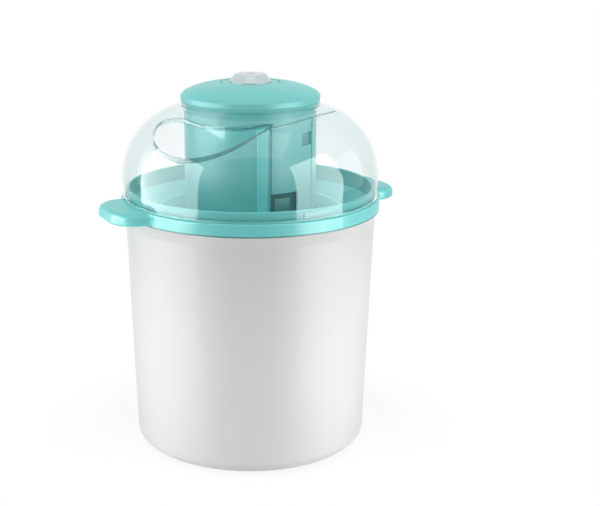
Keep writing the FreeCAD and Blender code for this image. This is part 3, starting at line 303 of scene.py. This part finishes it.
def moulded_plastic():
    """Flow shading, uneven gloss and the faint waviness that a moulding's skin has."""
    group, given, result = effect(
        "moulded_plastic",
        [("Position", "vector", None), ("Colour", "colour", (0.8, 0.8, 0.8, 1.0)),
         ("Gloss low", "value", 0.16), ("Gloss high", "value", 0.24), ("Shade", "value", 0.96)],
        SKIN_OUTPUTS)
    place = given["Position"]
    flow = noise(group, place, scale=9.0, detail=3.0)
    cloud = noise(group, place, scale=34.0, detail=2.0)
    peel = noise(group, place, scale=420.0, detail=2.0)
    dust = noise(group, place, scale=2400.0, detail=1.0)
    shade = ranged(group, flow, given["Shade"], 1.0)
    feed(group, shaded(group, given["Colour"], shade), result["Colour"])
    feed(group, ranged(group, cloud, given["Gloss low"], given["Gloss high"]), result["Roughness"])
    feed(group, maths(group, "ADD", peel, maths(group, "MULTIPLY", dust, DUST_SHARE)),
         result["Height"])
    return group


def turned_metal():
    """Fine rings and a blotched sheen, as on spun, drawn or ground metal."""
    group, given, result = effect(
        "turned_metal",
        [("Position", "vector", None), ("Colour", "colour", (0.6, 0.6, 0.6, 1.0)),
         ("Rough low", "value", 0.18), ("Rough high", "value", 0.26),
         ("Ring pitch", "value", 900.0)],
        SKIN_OUTPUTS)
    _, _, height = coordinates(group, given["Position"])
    lines = group.nodes.new("ShaderNodeCombineXYZ")
    feed(group, maths(group, "MULTIPLY", height, given["Ring pitch"]), lines.inputs["Z"])
    rings = noise(group, lines.outputs["Vector"], scale=1.0, detail=3.0)
    blotch = noise(group, given["Position"], scale=26.0, detail=3.0)
    feed(group, shaded(group, given["Colour"], ranged(group, blotch, 0.90, 1.0)), result["Colour"])
    feed(group, ranged(group, rings, given["Rough low"], given["Rough high"]), result["Roughness"])
    feed(group, rings, result["Height"])
    return group


def soft_rubber():
    """Matt grain with a worn bloom, as on rubber and silicone."""
    group, given, result = effect(
        "soft_rubber",
        [("Position", "vector", None), ("Colour", "colour", (0.3, 0.3, 0.3, 1.0)),
         ("Rough low", "value", 0.55), ("Rough high", "value", 0.75)],
        SKIN_OUTPUTS)
    bloom = noise(group, given["Position"], scale=60.0, detail=4.0)
    grain = noise(group, given["Position"], scale=1800.0, detail=2.0)
    feed(group, shaded(group, given["Colour"], ranged(group, bloom, 0.86, 1.0)), result["Colour"])
    feed(group, ranged(group, bloom, given["Rough low"], given["Rough high"]), result["Roughness"])
    feed(group, grain, result["Height"])
    return group


def recess_shade():
    """Painted shade in pockets below a round wall's skin, and a painted highlight on what stands
    proud of it.
    """
    group, given, result = effect(
        "recess_shade",
        [("Position", "vector", None), ("Colour", "colour", (0.8, 0.8, 0.8, 1.0)),
         ("Radius", "value", 0.05), ("Depth", "value", 0.002),
         ("Dark", "colour", (0.4, 0.4, 0.4, 1.0)), ("Light", "value", 1.1)],
        [("Colour", "colour")])
    x, y, _ = coordinates(group, given["Position"])
    above = maths(group, "SUBTRACT", length(group, x, y), given["Radius"])
    bottom = maths(group, "MULTIPLY", given["Depth"], -1.0)
    light = stretched(group, above, *PROUD_STEP, 1.0, given["Light"])
    dark = stretched(group, above, bottom, POCKET_STEP, 1.0, 0.0)
    lit = shaded(group, given["Colour"], light)
    feed(group, blended(group, "MULTIPLY", dark, lit, given["Dark"]), result["Colour"])
    return group


def dome_walls():
    """Tells a dome's cut edges, its outer skin and its neck from the rest of its wall."""
    group, given, result = effect(
        "dome_walls",
        [("Position", "vector", None), ("Normal", "vector", None), ("Arc radius", "value", 0.0555),
         ("Arc centre", "value", 0.0433), ("Arc height", "value", 0.2125),
         ("Neck", "value", 0.0542), ("Foot", "value", 0.2035), ("Bead", "value", 0.2)],
        [("Edge", "value"), ("Skin", "value"), ("Neck wall", "value")])
    x, y, z = coordinates(group, given["Position"])
    radius = length(group, x, y)
    outside_neck = maths(group, "GREATER_THAN", radius, given["Neck"])
    above_foot = maths(group, "GREATER_THAN", z, given["Foot"])

    # The dome's section is an arc: out and up lead from its centre, and reach is the distance.
    out = maths(group, "SUBTRACT", radius, given["Arc centre"])
    up = maths(group, "MAXIMUM", maths(group, "SUBTRACT", z, given["Arc height"]), 0.0)
    reach = length(group, out, up)

    # How squarely the surface faces the arc's centre or away from it.
    normal_x, normal_y, normal_z = coordinates(group, given["Normal"])
    level = maths(group, "ADD", maths(group, "MULTIPLY", normal_x, x),
                  maths(group, "MULTIPLY", normal_y, y))
    level = maths(group, "MULTIPLY", maths(group, "DIVIDE", level, radius), out)
    along = maths(group, "ADD", level, maths(group, "MULTIPLY", normal_z, up))
    along = maths(group, "ABSOLUTE", maths(group, "DIVIDE", along, reach))

    # A cut edge faces along the dome, and the bead round it stands above the arc.
    cut = maths(group, "MULTIPLY", stretched(group, along, *CUT_TURN, 1.0, 0.0), outside_neck)
    proud = maths(group, "SUBTRACT", reach, given["Arc radius"])
    bead = stretched(group, proud, *BEAD_STEP, 0.0, given["Bead"])
    edge = maths(group, "MULTIPLY", maths(group, "MAXIMUM", cut, bead), above_foot)
    depth = maths(group, "SUBTRACT", given["Arc radius"], reach)
    edge = maths(group, "MULTIPLY", edge, stretched(group, depth, *CUT_DEPTH, 1.0, CUT_FADED))

    inner_side = maths(group, "SUBTRACT", given["Arc radius"], SKIN_DEPTH)
    skin = maths(group, "GREATER_THAN", reach, inner_side)
    feed(group, edge, result["Edge"])
    feed(group, maths(group, "SUBTRACT", 1.0, outside_neck), result["Neck wall"])
    feed(group, maths(group, "MULTIPLY", skin, outside_neck), result["Skin"])
    return group


def round_mark():
    """A small round print with a bare middle, on the axis."""
    group, given, result = effect(
        "round_mark",
        [("Position", "vector", None), ("Colour", "colour", (0.8, 0.8, 0.8, 1.0)),
         ("Print", "colour", (0.1, 0.1, 0.1, 1.0)), ("Size", "value", 0.0030),
         ("Floor", "value", 0.28)],
        [("Colour", "colour")])
    x, y, z = coordinates(group, given["Position"])
    radius = length(group, x, y)
    inside = maths(group, "LESS_THAN", radius, given["Size"])
    outside = maths(group, "GREATER_THAN", radius,
                    maths(group, "MULTIPLY", given["Size"], MARK_BARE))
    high = maths(group, "GREATER_THAN", z, given["Floor"])
    printed = maths(group, "MULTIPLY", maths(group, "MULTIPLY", inside, outside), high)
    feed(group, blended(group, "MIX", printed, given["Colour"], given["Print"]), result["Colour"])
    return group


EFFECTS = {"moulded_plastic": moulded_plastic, "turned_metal": turned_metal,
           "soft_rubber": soft_rubber, "recess_shade": recess_shade,
           "dome_walls": dome_walls, "round_mark": round_mark}


def layer(tree, effect_name, values):
    """An effect placed in a material, with its values and the object's own coordinates."""
    node = tree.nodes.new("ShaderNodeGroup")
    node.node_tree = bpy.data.node_groups.get(effect_name) or EFFECTS[effect_name]()
    for label, value in values.items():
        node.inputs[label].default_value = value
    place = tree.nodes.get("Texture Coordinate") or tree.nodes.new("ShaderNodeTexCoord")
    tree.links.new(place.outputs["Object"], node.inputs["Position"])
    return node


def finish(name, effect_name, tint, values, bump, constants):
    """A material with its colour, gloss and relief from an effect, the rest from constants."""
    made = bpy.data.materials.new(name)
    made.use_nodes = True
    tree = made.node_tree
    shader = tree.nodes["Principled BSDF"]
    skin = layer(tree, effect_name, {"Colour": (*tint, 1.0), **values})
    relief = tree.nodes.new("ShaderNodeBump")
    relief.inputs["Distance"].default_value = bump
    relief.inputs["Strength"].default_value = 1.0
    tree.links.new(skin.outputs["Colour"], shader.inputs["Base Color"])
    tree.links.new(skin.outputs["Roughness"], shader.inputs["Roughness"])
    tree.links.new(skin.outputs["Height"], relief.inputs["Height"])
    tree.links.new(relief.outputs["Normal"], shader.inputs["Normal"])
    for label, value in constants.items():
        shader.inputs[label].default_value = value
    return made


def two_shaders(tree, factor, first, second):
    """Gives the surface the first shader where the factor is 0, and the second where it is 1."""
    mix = tree.nodes.new("ShaderNodeMixShader")
    for socket, value in zip(mix.inputs, (factor, first, second)):
        tree.links.new(value, socket)
    tree.links.new(mix.outputs["Shader"], tree.nodes["Material Output"].inputs["Surface"])


def let_light_through(made):
    """Lets lamps shine through a clear piece, whose refraction would otherwise stop them."""
    tree = made.node_tree
    path = tree.nodes.new("ShaderNodeLightPath")
    either = maths(tree, "MAXIMUM", path.outputs["Is Shadow Ray"], path.outputs["Is Diffuse Ray"])
    open_way = tree.nodes.new("ShaderNodeBsdfTransparent")
    open_way.inputs["Color"].default_value = (LIGHT_PASSED, LIGHT_PASSED, LIGHT_PASSED, 1.0)
    two_shaders(tree, either, tree.nodes["Principled BSDF"].outputs["BSDF"],
                open_way.outputs["BSDF"])


def over(made, effect_name, values):
    """Passes a material's colour through one more effect."""
    tree = made.node_tree
    base = tree.nodes["Principled BSDF"].inputs["Base Color"]
    upper = layer(tree, effect_name, values)
    tree.links.new(base.links[0].from_socket, upper.inputs["Colour"])
    tree.links.new(upper.outputs["Colour"], base)


def tinted(made, tint, amount):
    """Mixes a tint into a material's colour by an amount that varies over the surface."""
    tree = made.node_tree
    base = tree.nodes["Principled BSDF"].inputs["Base Color"]
    plain = base.links[0].from_socket
    tree.links.new(blended(tree, "MIX", amount, plain, (*tint, 1.0)), base)


def clear_walls(made, edge_tint, cut_shade_tint):
    """Deepens a clear wall where it is seen along its length, and tints its cut edges dark as
    painted shade in place of their refraction.
    """
    tree = made.node_tree
    facing = tree.nodes.new("ShaderNodeLayerWeight")
    facing.inputs["Blend"].default_value = 0.5
    tinted(made, edge_tint, maths(tree, "POWER", facing.outputs["Facing"], EDGE_ON_POWER))
    walls = layer(tree, "dome_walls", {})
    tree.links.new(tree.nodes["Texture Coordinate"].outputs["Normal"], walls.inputs["Normal"])
    tinted(made, WHITE, walls.outputs["Neck wall"])
    # The cut edges get a painted dark line.
    tinted(made, cut_shade_tint, walls.outputs["Edge"])
    tree.links.new(walls.outputs["Skin"], tree.nodes["Principled BSDF"].inputs["Coat Weight"])


def dress(node, made):
    """Gives a CAD node a material in every slot."""
    data = NODES[node].data
    if not data.materials:
        data.materials.append(made)
    for slot in NODES[node].material_slots:
        slot.material = made


# ---- pieces --------------------------------------------------------------------------

def ready(name):
    """Applies the piece's place and smooths it; its object then stands at the origin."""
    piece = bpy.context.object
    piece.name = name
    bpy.ops.object.transform_apply(location=True, rotation=True, scale=True)
    bpy.ops.object.shade_smooth_by_angle(angle=SMOOTH_ANGLE)
    return piece


def swept(name, radius, height, wall, tall, edge, heading, span):
    """A bar of rounded section swept round the upright axis, part of the way or all of it."""
    whole = span >= 2 * math.pi
    bpy.ops.object.select_all(action="DESELECT")
    bpy.ops.mesh.primitive_plane_add(size=1.0, location=(radius, 0.0, height),
                                     rotation=(math.pi / 2, 0.0, 0.0))
    bpy.context.object.scale = (wall, tall, 1.0)
    bpy.ops.object.transform_apply(location=True, rotation=True, scale=True)
    bpy.ops.object.mode_set(mode="EDIT")
    bpy.ops.mesh.select_all(action="SELECT")
    bpy.ops.mesh.bevel(offset=edge, segments=CORNER_STEPS, affect="VERTICES")
    if whole:
        bpy.ops.mesh.delete(type="ONLY_FACE")
    bpy.ops.mesh.select_all(action="SELECT")
    bpy.ops.mesh.spin(steps=max(FEWEST_STEPS, round(span * STEPS_PER_RADIAN)), angle=span,
                      center=(0.0, 0.0, 0.0), axis=(0.0, 0.0, -1.0))
    bpy.ops.mesh.select_all(action="SELECT")
    bpy.ops.mesh.remove_doubles(threshold=WELD)
    bpy.ops.mesh.normals_make_consistent(inside=False)
    bpy.ops.object.mode_set(mode="OBJECT")
    bpy.context.object.rotation_euler = (0.0, 0.0, heading)
    return ready(name)


class FREEZER_OT_bucket(bpy.types.Operator):
    """Finishes the white bucket and its rubber feet"""
    bl_idname = "freezer.bucket"
    bl_label = "Bucket and feet"

    def execute(self, context):
        colours = context.scene.freezer_colours
        dress("outer_housing", finish(
            "housing_white", "moulded_plastic", colours.housing,
            {"Gloss low": 0.29, "Gloss high": 0.36, "Shade": 0.98}, RELIEF_SMOOTH,
            {"Specular IOR Level": 0.16, "Coat Weight": 0.04, "Coat Roughness": 0.18}))
        dress("rubber_feet", finish(
            "foot_rubber", "soft_rubber", colours.rubber, {}, RELIEF_SOFT, {}))
        return {"FINISHED"}


class FREEZER_OT_shadow_band(bpy.types.Operator):
    """Makes a dark band of painted shadow where the handle ring shades the bucket just below it"""
    bl_idname = "freezer.seam"
    bl_label = "Ring seam"

    def execute(self, context):
        trim = context.scene.freezer_trim
        # A dark band of painted shadow under the handle ring.
        seam = swept("ring_shadow_band", trim.shadow_band_r, trim.shadow_band_z, trim.shadow_band_width, trim.shadow_band_height,
                     trim.shadow_band_edge, 0.0, 2 * math.pi)
        seam.data.materials.append(finish(
            "shadow_band_teal", "soft_rubber", context.scene.freezer_colours.seam,
            {"Rough low": 0.45, "Rough high": 0.6}, RELIEF_FINE, {}))
        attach(seam, "base")
        return {"FINISHED"}


class FREEZER_OT_ring(bpy.types.Operator):
    """Finishes the teal ring with its handles"""
    bl_idname = "freezer.ring"
    bl_label = "Handle ring"

    def execute(self, context):
        dress("rim_ring", finish(
            "ring_teal", "moulded_plastic", context.scene.freezer_colours.teal,
            {"Gloss low": 0.32, "Gloss high": 0.42}, RELIEF_SMOOTH,
            {"Specular IOR Level": 0.2, "Coat Weight": 0.22, "Coat Roughness": 0.09}))
        return {"FINISHED"}


class FREEZER_OT_bowl(bpy.types.Operator):
    """Finishes the freezer bowl, its cold store and its filling plug"""
    bl_idname = "freezer.bowl"
    bl_label = "Freezer bowl"

    def execute(self, context):
        colours = context.scene.freezer_colours
        dress("bowl_rim", finish(
            "collar_teal", "moulded_plastic", colours.teal,
            {"Gloss low": 0.30, "Gloss high": 0.40}, RELIEF_SMOOTH,
            {"Specular IOR Level": 0.15}))
        dress("bowl_liner", finish(
            "liner_aluminium", "turned_metal", colours.liner,
            {"Rough low": 0.29, "Rough high": 0.40}, RELIEF_FINE, {"Metallic": 1.0}))
        shell = finish("bowl_white", "moulded_plastic", colours.bowl,
                       {"Gloss low": 0.30, "Gloss high": 0.42}, RELIEF_SMOOTH, {})
        dress("bowl_shell", shell)
        dress("coolant_plug", shell)
        dress("coolant_gel", finish(
            "coolant", "moulded_plastic", colours.coolant,
            {"Gloss low": 0.10, "Gloss high": 0.25, "Shade": 0.8}, RELIEF_FROSTED,
            {"Subsurface Weight": 0.3, "Subsurface Radius": (0.004, 0.006, 0.008)}))
        return {"FINISHED"}


class FREEZER_OT_sleeve(bpy.types.Operator):
    """Makes the teal sleeve that lines the bowl's mouth below the collar's step"""
    bl_idname = "freezer.sleeve"
    bl_label = "Mouth sleeve"

    def execute(self, context):
        trim = context.scene.freezer_trim
        colours = context.scene.freezer_colours
        sleeve = swept("mouth_sleeve", trim.sleeve_r, trim.sleeve_z, trim.sleeve_wall,
                       trim.sleeve_depth, trim.sleeve_edge, 0.0, 2 * math.pi)
        # Painted light: a brightened teal and a faint glow, though the sleeve is no lamp and
        # stands in shade.
        sleeve.data.materials.append(finish(
            "sleeve_teal", "moulded_plastic", colours.sleeve,
            {"Gloss low": 0.34, "Gloss high": 0.44}, RELIEF_SMOOTH,
            {"Specular IOR Level": 0.08, "Emission Color": (*colours.sleeve_painted_glow, 1.0),
             "Emission Strength": 0.25}))
        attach(sleeve, "bowl")
        return {"FINISHED"}


class FREEZER_OT_lid(bpy.types.Operator):
    """Finishes the clear lid and the silicone ring that it stands on"""
    bl_idname = "freezer.lid"
    bl_label = "Clear lid"

    def execute(self, context):
        colours = context.scene.freezer_colours
        clear = finish("clear_lid", "moulded_plastic", colours.lid,
                       {"Gloss low": 0.0, "Gloss high": 0.02, "Shade": 0.99}, RELIEF_POLISHED,
                       {"Transmission Weight": 1.0, "IOR": 1.03, "Coat Roughness": 0.06,
                        "Coat IOR": 1.32})
        clear_walls(clear, colours.lid_edge, colours.lid_cut_shade)
        let_light_through(clear)
        dress("lid_dome", clear)
        dress("lid_seal", finish("seal_silicone", "soft_rubber", colours.seal,
                                 {"Rough low": 0.42, "Rough high": 0.55}, RELIEF_SMOOTH, {}))
        return {"FINISHED"}


class FREEZER_OT_motor_case(bpy.types.Operator):
    """Finishes the motor case, its cap, its screws and its cord gland"""
    bl_idname = "freezer.motor_case"
    bl_label = "Motor case"

    def execute(self, context):
        colours = context.scene.freezer_colours
        case = finish("case_teal", "moulded_plastic", colours.teal,
                      {"Gloss low": 0.30, "Gloss high": 0.40}, RELIEF_SMOOTH,
                      {"Specular IOR Level": 0.3, "Coat Weight": 0.45, "Coat Roughness": 0.07})
        # Painted shade in the case's latch pocket, groove and window, and a painted highlight on
        # what stands proud, such as the guide rib.
        over(case, "recess_shade", {"Radius": 0.0507, "Depth": 0.0024,
                                    "Dark": (*colours.pocket_shade, 1.0), "Light": 1.25})
        dress("motor_housing", case)
        cap = finish("cap_teal", "moulded_plastic", colours.cap,
                     {"Gloss low": 0.32, "Gloss high": 0.42}, RELIEF_SMOOTH,
                     {"Specular IOR Level": 0.14, "Coat Weight": 0.05, "Coat Roughness": 0.22})
        dress("motor_cap", cap)
        dress("button_bezel", cap)
        dress("cord_gland", finish("gland_black", "soft_rubber", colours.black,
                                   {"Rough low": 0.45, "Rough high": 0.6}, RELIEF_SOFT, {}))
        dress("case_screws", finish(
            "screw_steel", "turned_metal", colours.steel, {}, RELIEF_FINE, {"Metallic": 1.0}))
        return {"FINISHED"}


class FREEZER_OT_latch_shade(bpy.types.Operator):
    """Makes a dark pad of painted shade that stands in the latch pocket at the case's foot"""
    bl_idname = "freezer.latch"
    bl_label = "Latch pad"

    def execute(self, context):
        trim = context.scene.freezer_trim
        # A dark pad of painted shade in the latch pocket.
        shade_pad = swept("latch_shade_pad", trim.latch_r, trim.latch_z, trim.latch_thickness, trim.latch_tall,
                    trim.latch_edge, trim.latch_heading - math.pi / 2, trim.latch_span)
        shade_pad.data.materials.append(finish(
            "latch_shade_teal", "moulded_plastic", context.scene.freezer_colours.latch,
            {"Gloss low": 0.34, "Gloss high": 0.44}, RELIEF_SMOOTH, {}))
        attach(shade_pad, "motor_unit")
        return {"FINISHED"}


class FREEZER_OT_button(bpy.types.Operator):
    """Finishes the power button, its spring, switch, plunger and bracket"""
    bl_idname = "freezer.button"
    bl_label = "Power button"

    def execute(self, context):
        colours = context.scene.freezer_colours
        white = finish("button_white", "moulded_plastic", colours.button,
                       {"Gloss low": 0.30, "Gloss high": 0.38}, RELIEF_SMOOTH,
                       {"Coat Weight": 0.25, "Coat Roughness": 0.20})
        dress("switch_plunger", white)
        marked = white.copy()
        marked.name = "button_marked"
        over(marked, "round_mark", {"Print": (*colours.mark, 1.0)})
        dress("power_button", marked)
        dress("button_spring", finish(
            "spring_steel", "turned_metal", colours.steel, {}, RELIEF_FINE, {"Metallic": 1.0}))
        dress("power_switch", finish("switch_black", "moulded_plastic", colours.black,
                                     {"Gloss low": 0.35, "Gloss high": 0.5}, RELIEF_COARSE, {}))
        dress("switch_bracket", finish("bracket_grey", "moulded_plastic", colours.inner,
                                       {"Gloss low": 0.4, "Gloss high": 0.55}, RELIEF_COARSE, {}))
        return {"FINISHED"}


class FREEZER_OT_drive(bpy.types.Operator):
    """Finishes the gearbox, the gears, the shafts and the motor"""
    bl_idname = "freezer.drive"
    bl_label = "Gears and motor"

    def execute(self, context):
        colours = context.scene.freezer_colours
        grey = finish("gearbox_grey", "moulded_plastic", colours.inner,
                      {"Gloss low": 0.38, "Gloss high": 0.5}, RELIEF_COARSE, {})
        for node in ("gearbox_tray", "gearbox_cover"):
            dress(node, grey)
        acetal = finish("gear_acetal", "moulded_plastic", colours.gears,
                        {"Gloss low": 0.3, "Gloss high": 0.42}, RELIEF_SMOOTH,
                        {"Subsurface Weight": 0.1, "Subsurface Radius": (0.002, 0.002, 0.0015)})
        for node in ("output_gear", "idler_gear", "motor_pinion"):
            dress(node, acetal)
        steel = finish("shaft_steel", "turned_metal", colours.steel,
                       {"Rough low": 0.15, "Rough high": 0.26}, RELIEF_GROUND, {"Metallic": 1.0})
        for node in ("output_shaft", "motor_shaft", "idler_pin", "shaft_clip", "thrust_washer",
                     "gearbox_screws", "motor_screws"):
            dress(node, steel)
        dress("motor_can", finish("can_zinc", "turned_metal", colours.can,
                                  {"Rough low": 0.30, "Rough high": 0.42}, RELIEF_FINE,
                                  {"Metallic": 1.0}))
        dress("output_bushing", finish("bushing_bronze", "turned_metal", colours.bronze,
                                       {"Rough low": 0.35, "Rough high": 0.5}, RELIEF_FINE,
                                       {"Metallic": 1.0}))
        return {"FINISHED"}


class FREEZER_OT_paddle(bpy.types.Operator):
    """Finishes the stirring paddle"""
    bl_idname = "freezer.paddle"
    bl_label = "Paddle"

    def execute(self, context):
        dress("paddle", finish(
            "paddle_white", "moulded_plastic", context.scene.freezer_colours.paddle,
            {"Gloss low": 0.28, "Gloss high": 0.4}, RELIEF_SMOOTH,
            {"Subsurface Weight": 0.15, "Subsurface Radius": (0.003, 0.003, 0.0025)}))
        return {"FINISHED"}


# ---- stage ---------------------------------------------------------------------------

def lamp(name, place, aim, size, power):
    """A rectangular light of that width and height, turned towards the aim."""
    bpy.ops.object.light_add(type="AREA", location=place)
    made = bpy.context.object
    made.name = name
    made.rotation_euler = (Vector(aim) - Vector(place)).to_track_quat("-Z", "Y").to_euler()
    made.data.shape = "RECTANGLE"
    made.data.size, made.data.size_y = size
    made.data.energy = power
    return made


def standing(heading, reach, height):
    """The place that far out from the upright axis, round from the front by the heading."""
    return (reach * math.sin(heading), -reach * math.cos(heading), height)


def seen_directly(tree):
    """1 where the camera looks, also through clear pieces and in gloss, and 0 elsewhere."""
    path = tree.nodes.new("ShaderNodeLightPath")
    seen = maths(tree, "MAXIMUM", path.outputs["Is Camera Ray"],
                 path.outputs["Is Transmission Ray"])
    return maths(tree, "MAXIMUM", seen, path.outputs["Is Glossy Ray"])


class FREEZER_OT_stage(bpy.types.Operator):
    """Sets the floor, the surroundings, the lights and the camera"""
    bl_idname = "freezer.stage"
    bl_label = "Stage"

    def execute(self, context):
        values = context.scene.freezer_stage
        self.floor(context, values)
        self.surroundings(context, values)
        self.lights(values)
        self.camera(context, values)
        context.scene.view_settings.view_transform = "Standard"
        return {"FINISHED"}

    def floor(self, context, values):
        bpy.ops.mesh.primitive_plane_add(size=values.floor_width, location=(0, 0, 0))
        floor = context.object
        floor.name = "floor"
        made = bpy.data.materials.new("floor_pale")
        made.use_nodes = True
        tree = made.node_tree
        shader = tree.nodes["Principled BSDF"]
        shader.inputs["Base Color"].default_value = (*context.scene.freezer_colours.floor, 1.0)
        shader.inputs["Roughness"].default_value = FLOOR_ROUGHNESS
        shader.inputs["Specular IOR Level"].default_value = 0.0
        glow = tree.nodes.new("ShaderNodeEmission")
        two_shaders(tree, maths(tree, "MULTIPLY", seen_directly(tree), self.far_share(tree)),
                    shader.outputs["BSDF"], glow.outputs["Emission"])
        floor.data.materials.append(made)

    def far_share(self, tree):
        """White far from the object, with some of the object's shadow close to it."""
        place = tree.nodes.new("ShaderNodeTexCoord")
        away = tree.nodes.new("ShaderNodeVectorMath")
        away.operation = "LENGTH"
        tree.links.new(place.outputs["Object"], away.inputs[0])
        return stretched(tree, away.outputs["Value"], *FLOOR_SHADOW)

    def surroundings(self, context, values):
        world = bpy.data.worlds.new("studio")
        context.scene.world = world
        world.use_nodes = True
        tree = world.node_tree
        ground = tree.nodes["Background"]
        level = tree.nodes.new("ShaderNodeMapRange")
        level.inputs["To Min"].default_value = values.ambient
        level.inputs["To Max"].default_value = 1.0
        tree.links.new(seen_directly(tree), level.inputs["Value"])
        tree.links.new(level.outputs["Result"], ground.inputs["Strength"])
        ground.inputs["Color"].default_value = (*WHITE, 1.0)

    def lights(self, values):
        aim = (0.0, 0.0, AIM_HEIGHT)
        for name, side in (("side_light_left", -1.0), ("side_light_right", 1.0)):
            heading = values.camera_turn + side * values.side_turn
            lamp(name, standing(heading, SIDE_REACH, SIDE_HEIGHT), aim, SIDE_SIZE,
                 values.side_power)
        for name, side in (("strip_light_left", -1.0), ("strip_light_right", 1.0)):
            heading = values.camera_turn + side * values.strip_turn
            strip = lamp(name, standing(heading, values.strip_reach, STRIP_HEIGHT),
                         (0.0, 0.0, STRIP_HEIGHT), STRIP_SIZE, values.strip_power)
            strip.visible_camera = False
            strip.visible_transmission = False
        for name, turn, low, high in CARDS:
            self.card(values, name, values.camera_turn + turn, low, high)
        lamp("top_light", TOP_PLACE, aim, TOP_SIZE, values.top_power)

    def card(self, values, name, heading, low, high):
        """A tall panel from low to high along its width, which only glossy skins show."""
        out = Vector((math.sin(heading), -math.cos(heading), 0.0))
        along = Vector((math.cos(heading), math.sin(heading), 0.0))
        middle = Vector((0.0, 0.0, CARD_HEIGHT))
        offset = along * (low + high) / 2
        width = high - low
        panel = lamp(name, middle + out * values.card_reach + offset, middle + offset,
                     (width, CARD_TALL), values.card_power * width / CARD_FULL_WIDTH)
        panel.visible_camera = False
        panel.visible_diffuse = False
        panel.visible_transmission = False

    def camera(self, context, values):
        bpy.ops.object.camera_add(location=values.camera_place)
        camera = context.object
        camera.name = "camera"
        camera.rotation_euler = (math.pi / 2 - values.camera_drop, 0.0, values.camera_turn)
        camera.data.sensor_width = SENSOR_WIDTH
        camera.data.sensor_fit = "HORIZONTAL"
        camera.data.lens = values.lens
        camera.data.shift_x = values.shift
        context.scene.camera = camera


# ---- panel and registration ----------------------------------------------------------

PIECES = (FREEZER_OT_bucket, FREEZER_OT_shadow_band, FREEZER_OT_ring, FREEZER_OT_bowl, FREEZER_OT_sleeve,
          FREEZER_OT_lid, FREEZER_OT_motor_case, FREEZER_OT_latch_shade, FREEZER_OT_button,
          FREEZER_OT_drive, FREEZER_OT_paddle, FREEZER_OT_stage)


class FREEZER_PT_panel(bpy.types.Panel):
    """Lists the pieces and the stage"""
    bl_idname = "FREEZER_PT_panel"
    bl_label = "Ice cream maker"
    bl_space_type = "VIEW_3D"
    bl_region_type = "UI"
    bl_category = "Ice cream"

    def draw(self, context):
        for piece in PIECES:
            self.layout.operator(piece.bl_idname)


CLASSES = (FREEZER_PG_stage, FREEZER_PG_trim, FREEZER_PG_colours, *PIECES, FREEZER_PT_panel)


def register():
    for cls in CLASSES:
        bpy.utils.register_class(cls)
    bpy.types.Scene.freezer_stage = bpy.props.PointerProperty(type=FREEZER_PG_stage)
    bpy.types.Scene.freezer_trim = bpy.props.PointerProperty(type=FREEZER_PG_trim)
    bpy.types.Scene.freezer_colours = bpy.props.PointerProperty(type=FREEZER_PG_colours)


def unregister():
    del bpy.types.Scene.freezer_colours
    del bpy.types.Scene.freezer_trim
    del bpy.types.Scene.freezer_stage
    for cls in reversed(CLASSES):
        bpy.utils.unregister_class(cls)


def main():
    register()
    bpy.ops.object.select_all(action="DESELECT")
    for piece in PIECES:
        group, name = piece.bl_idname.split(".")
        result = getattr(getattr(bpy.ops, group), name)()
        if result != {"FINISHED"}:
            raise RuntimeError(f"{piece.bl_label} was not finished")


if __name__ == "__main__":
    main()
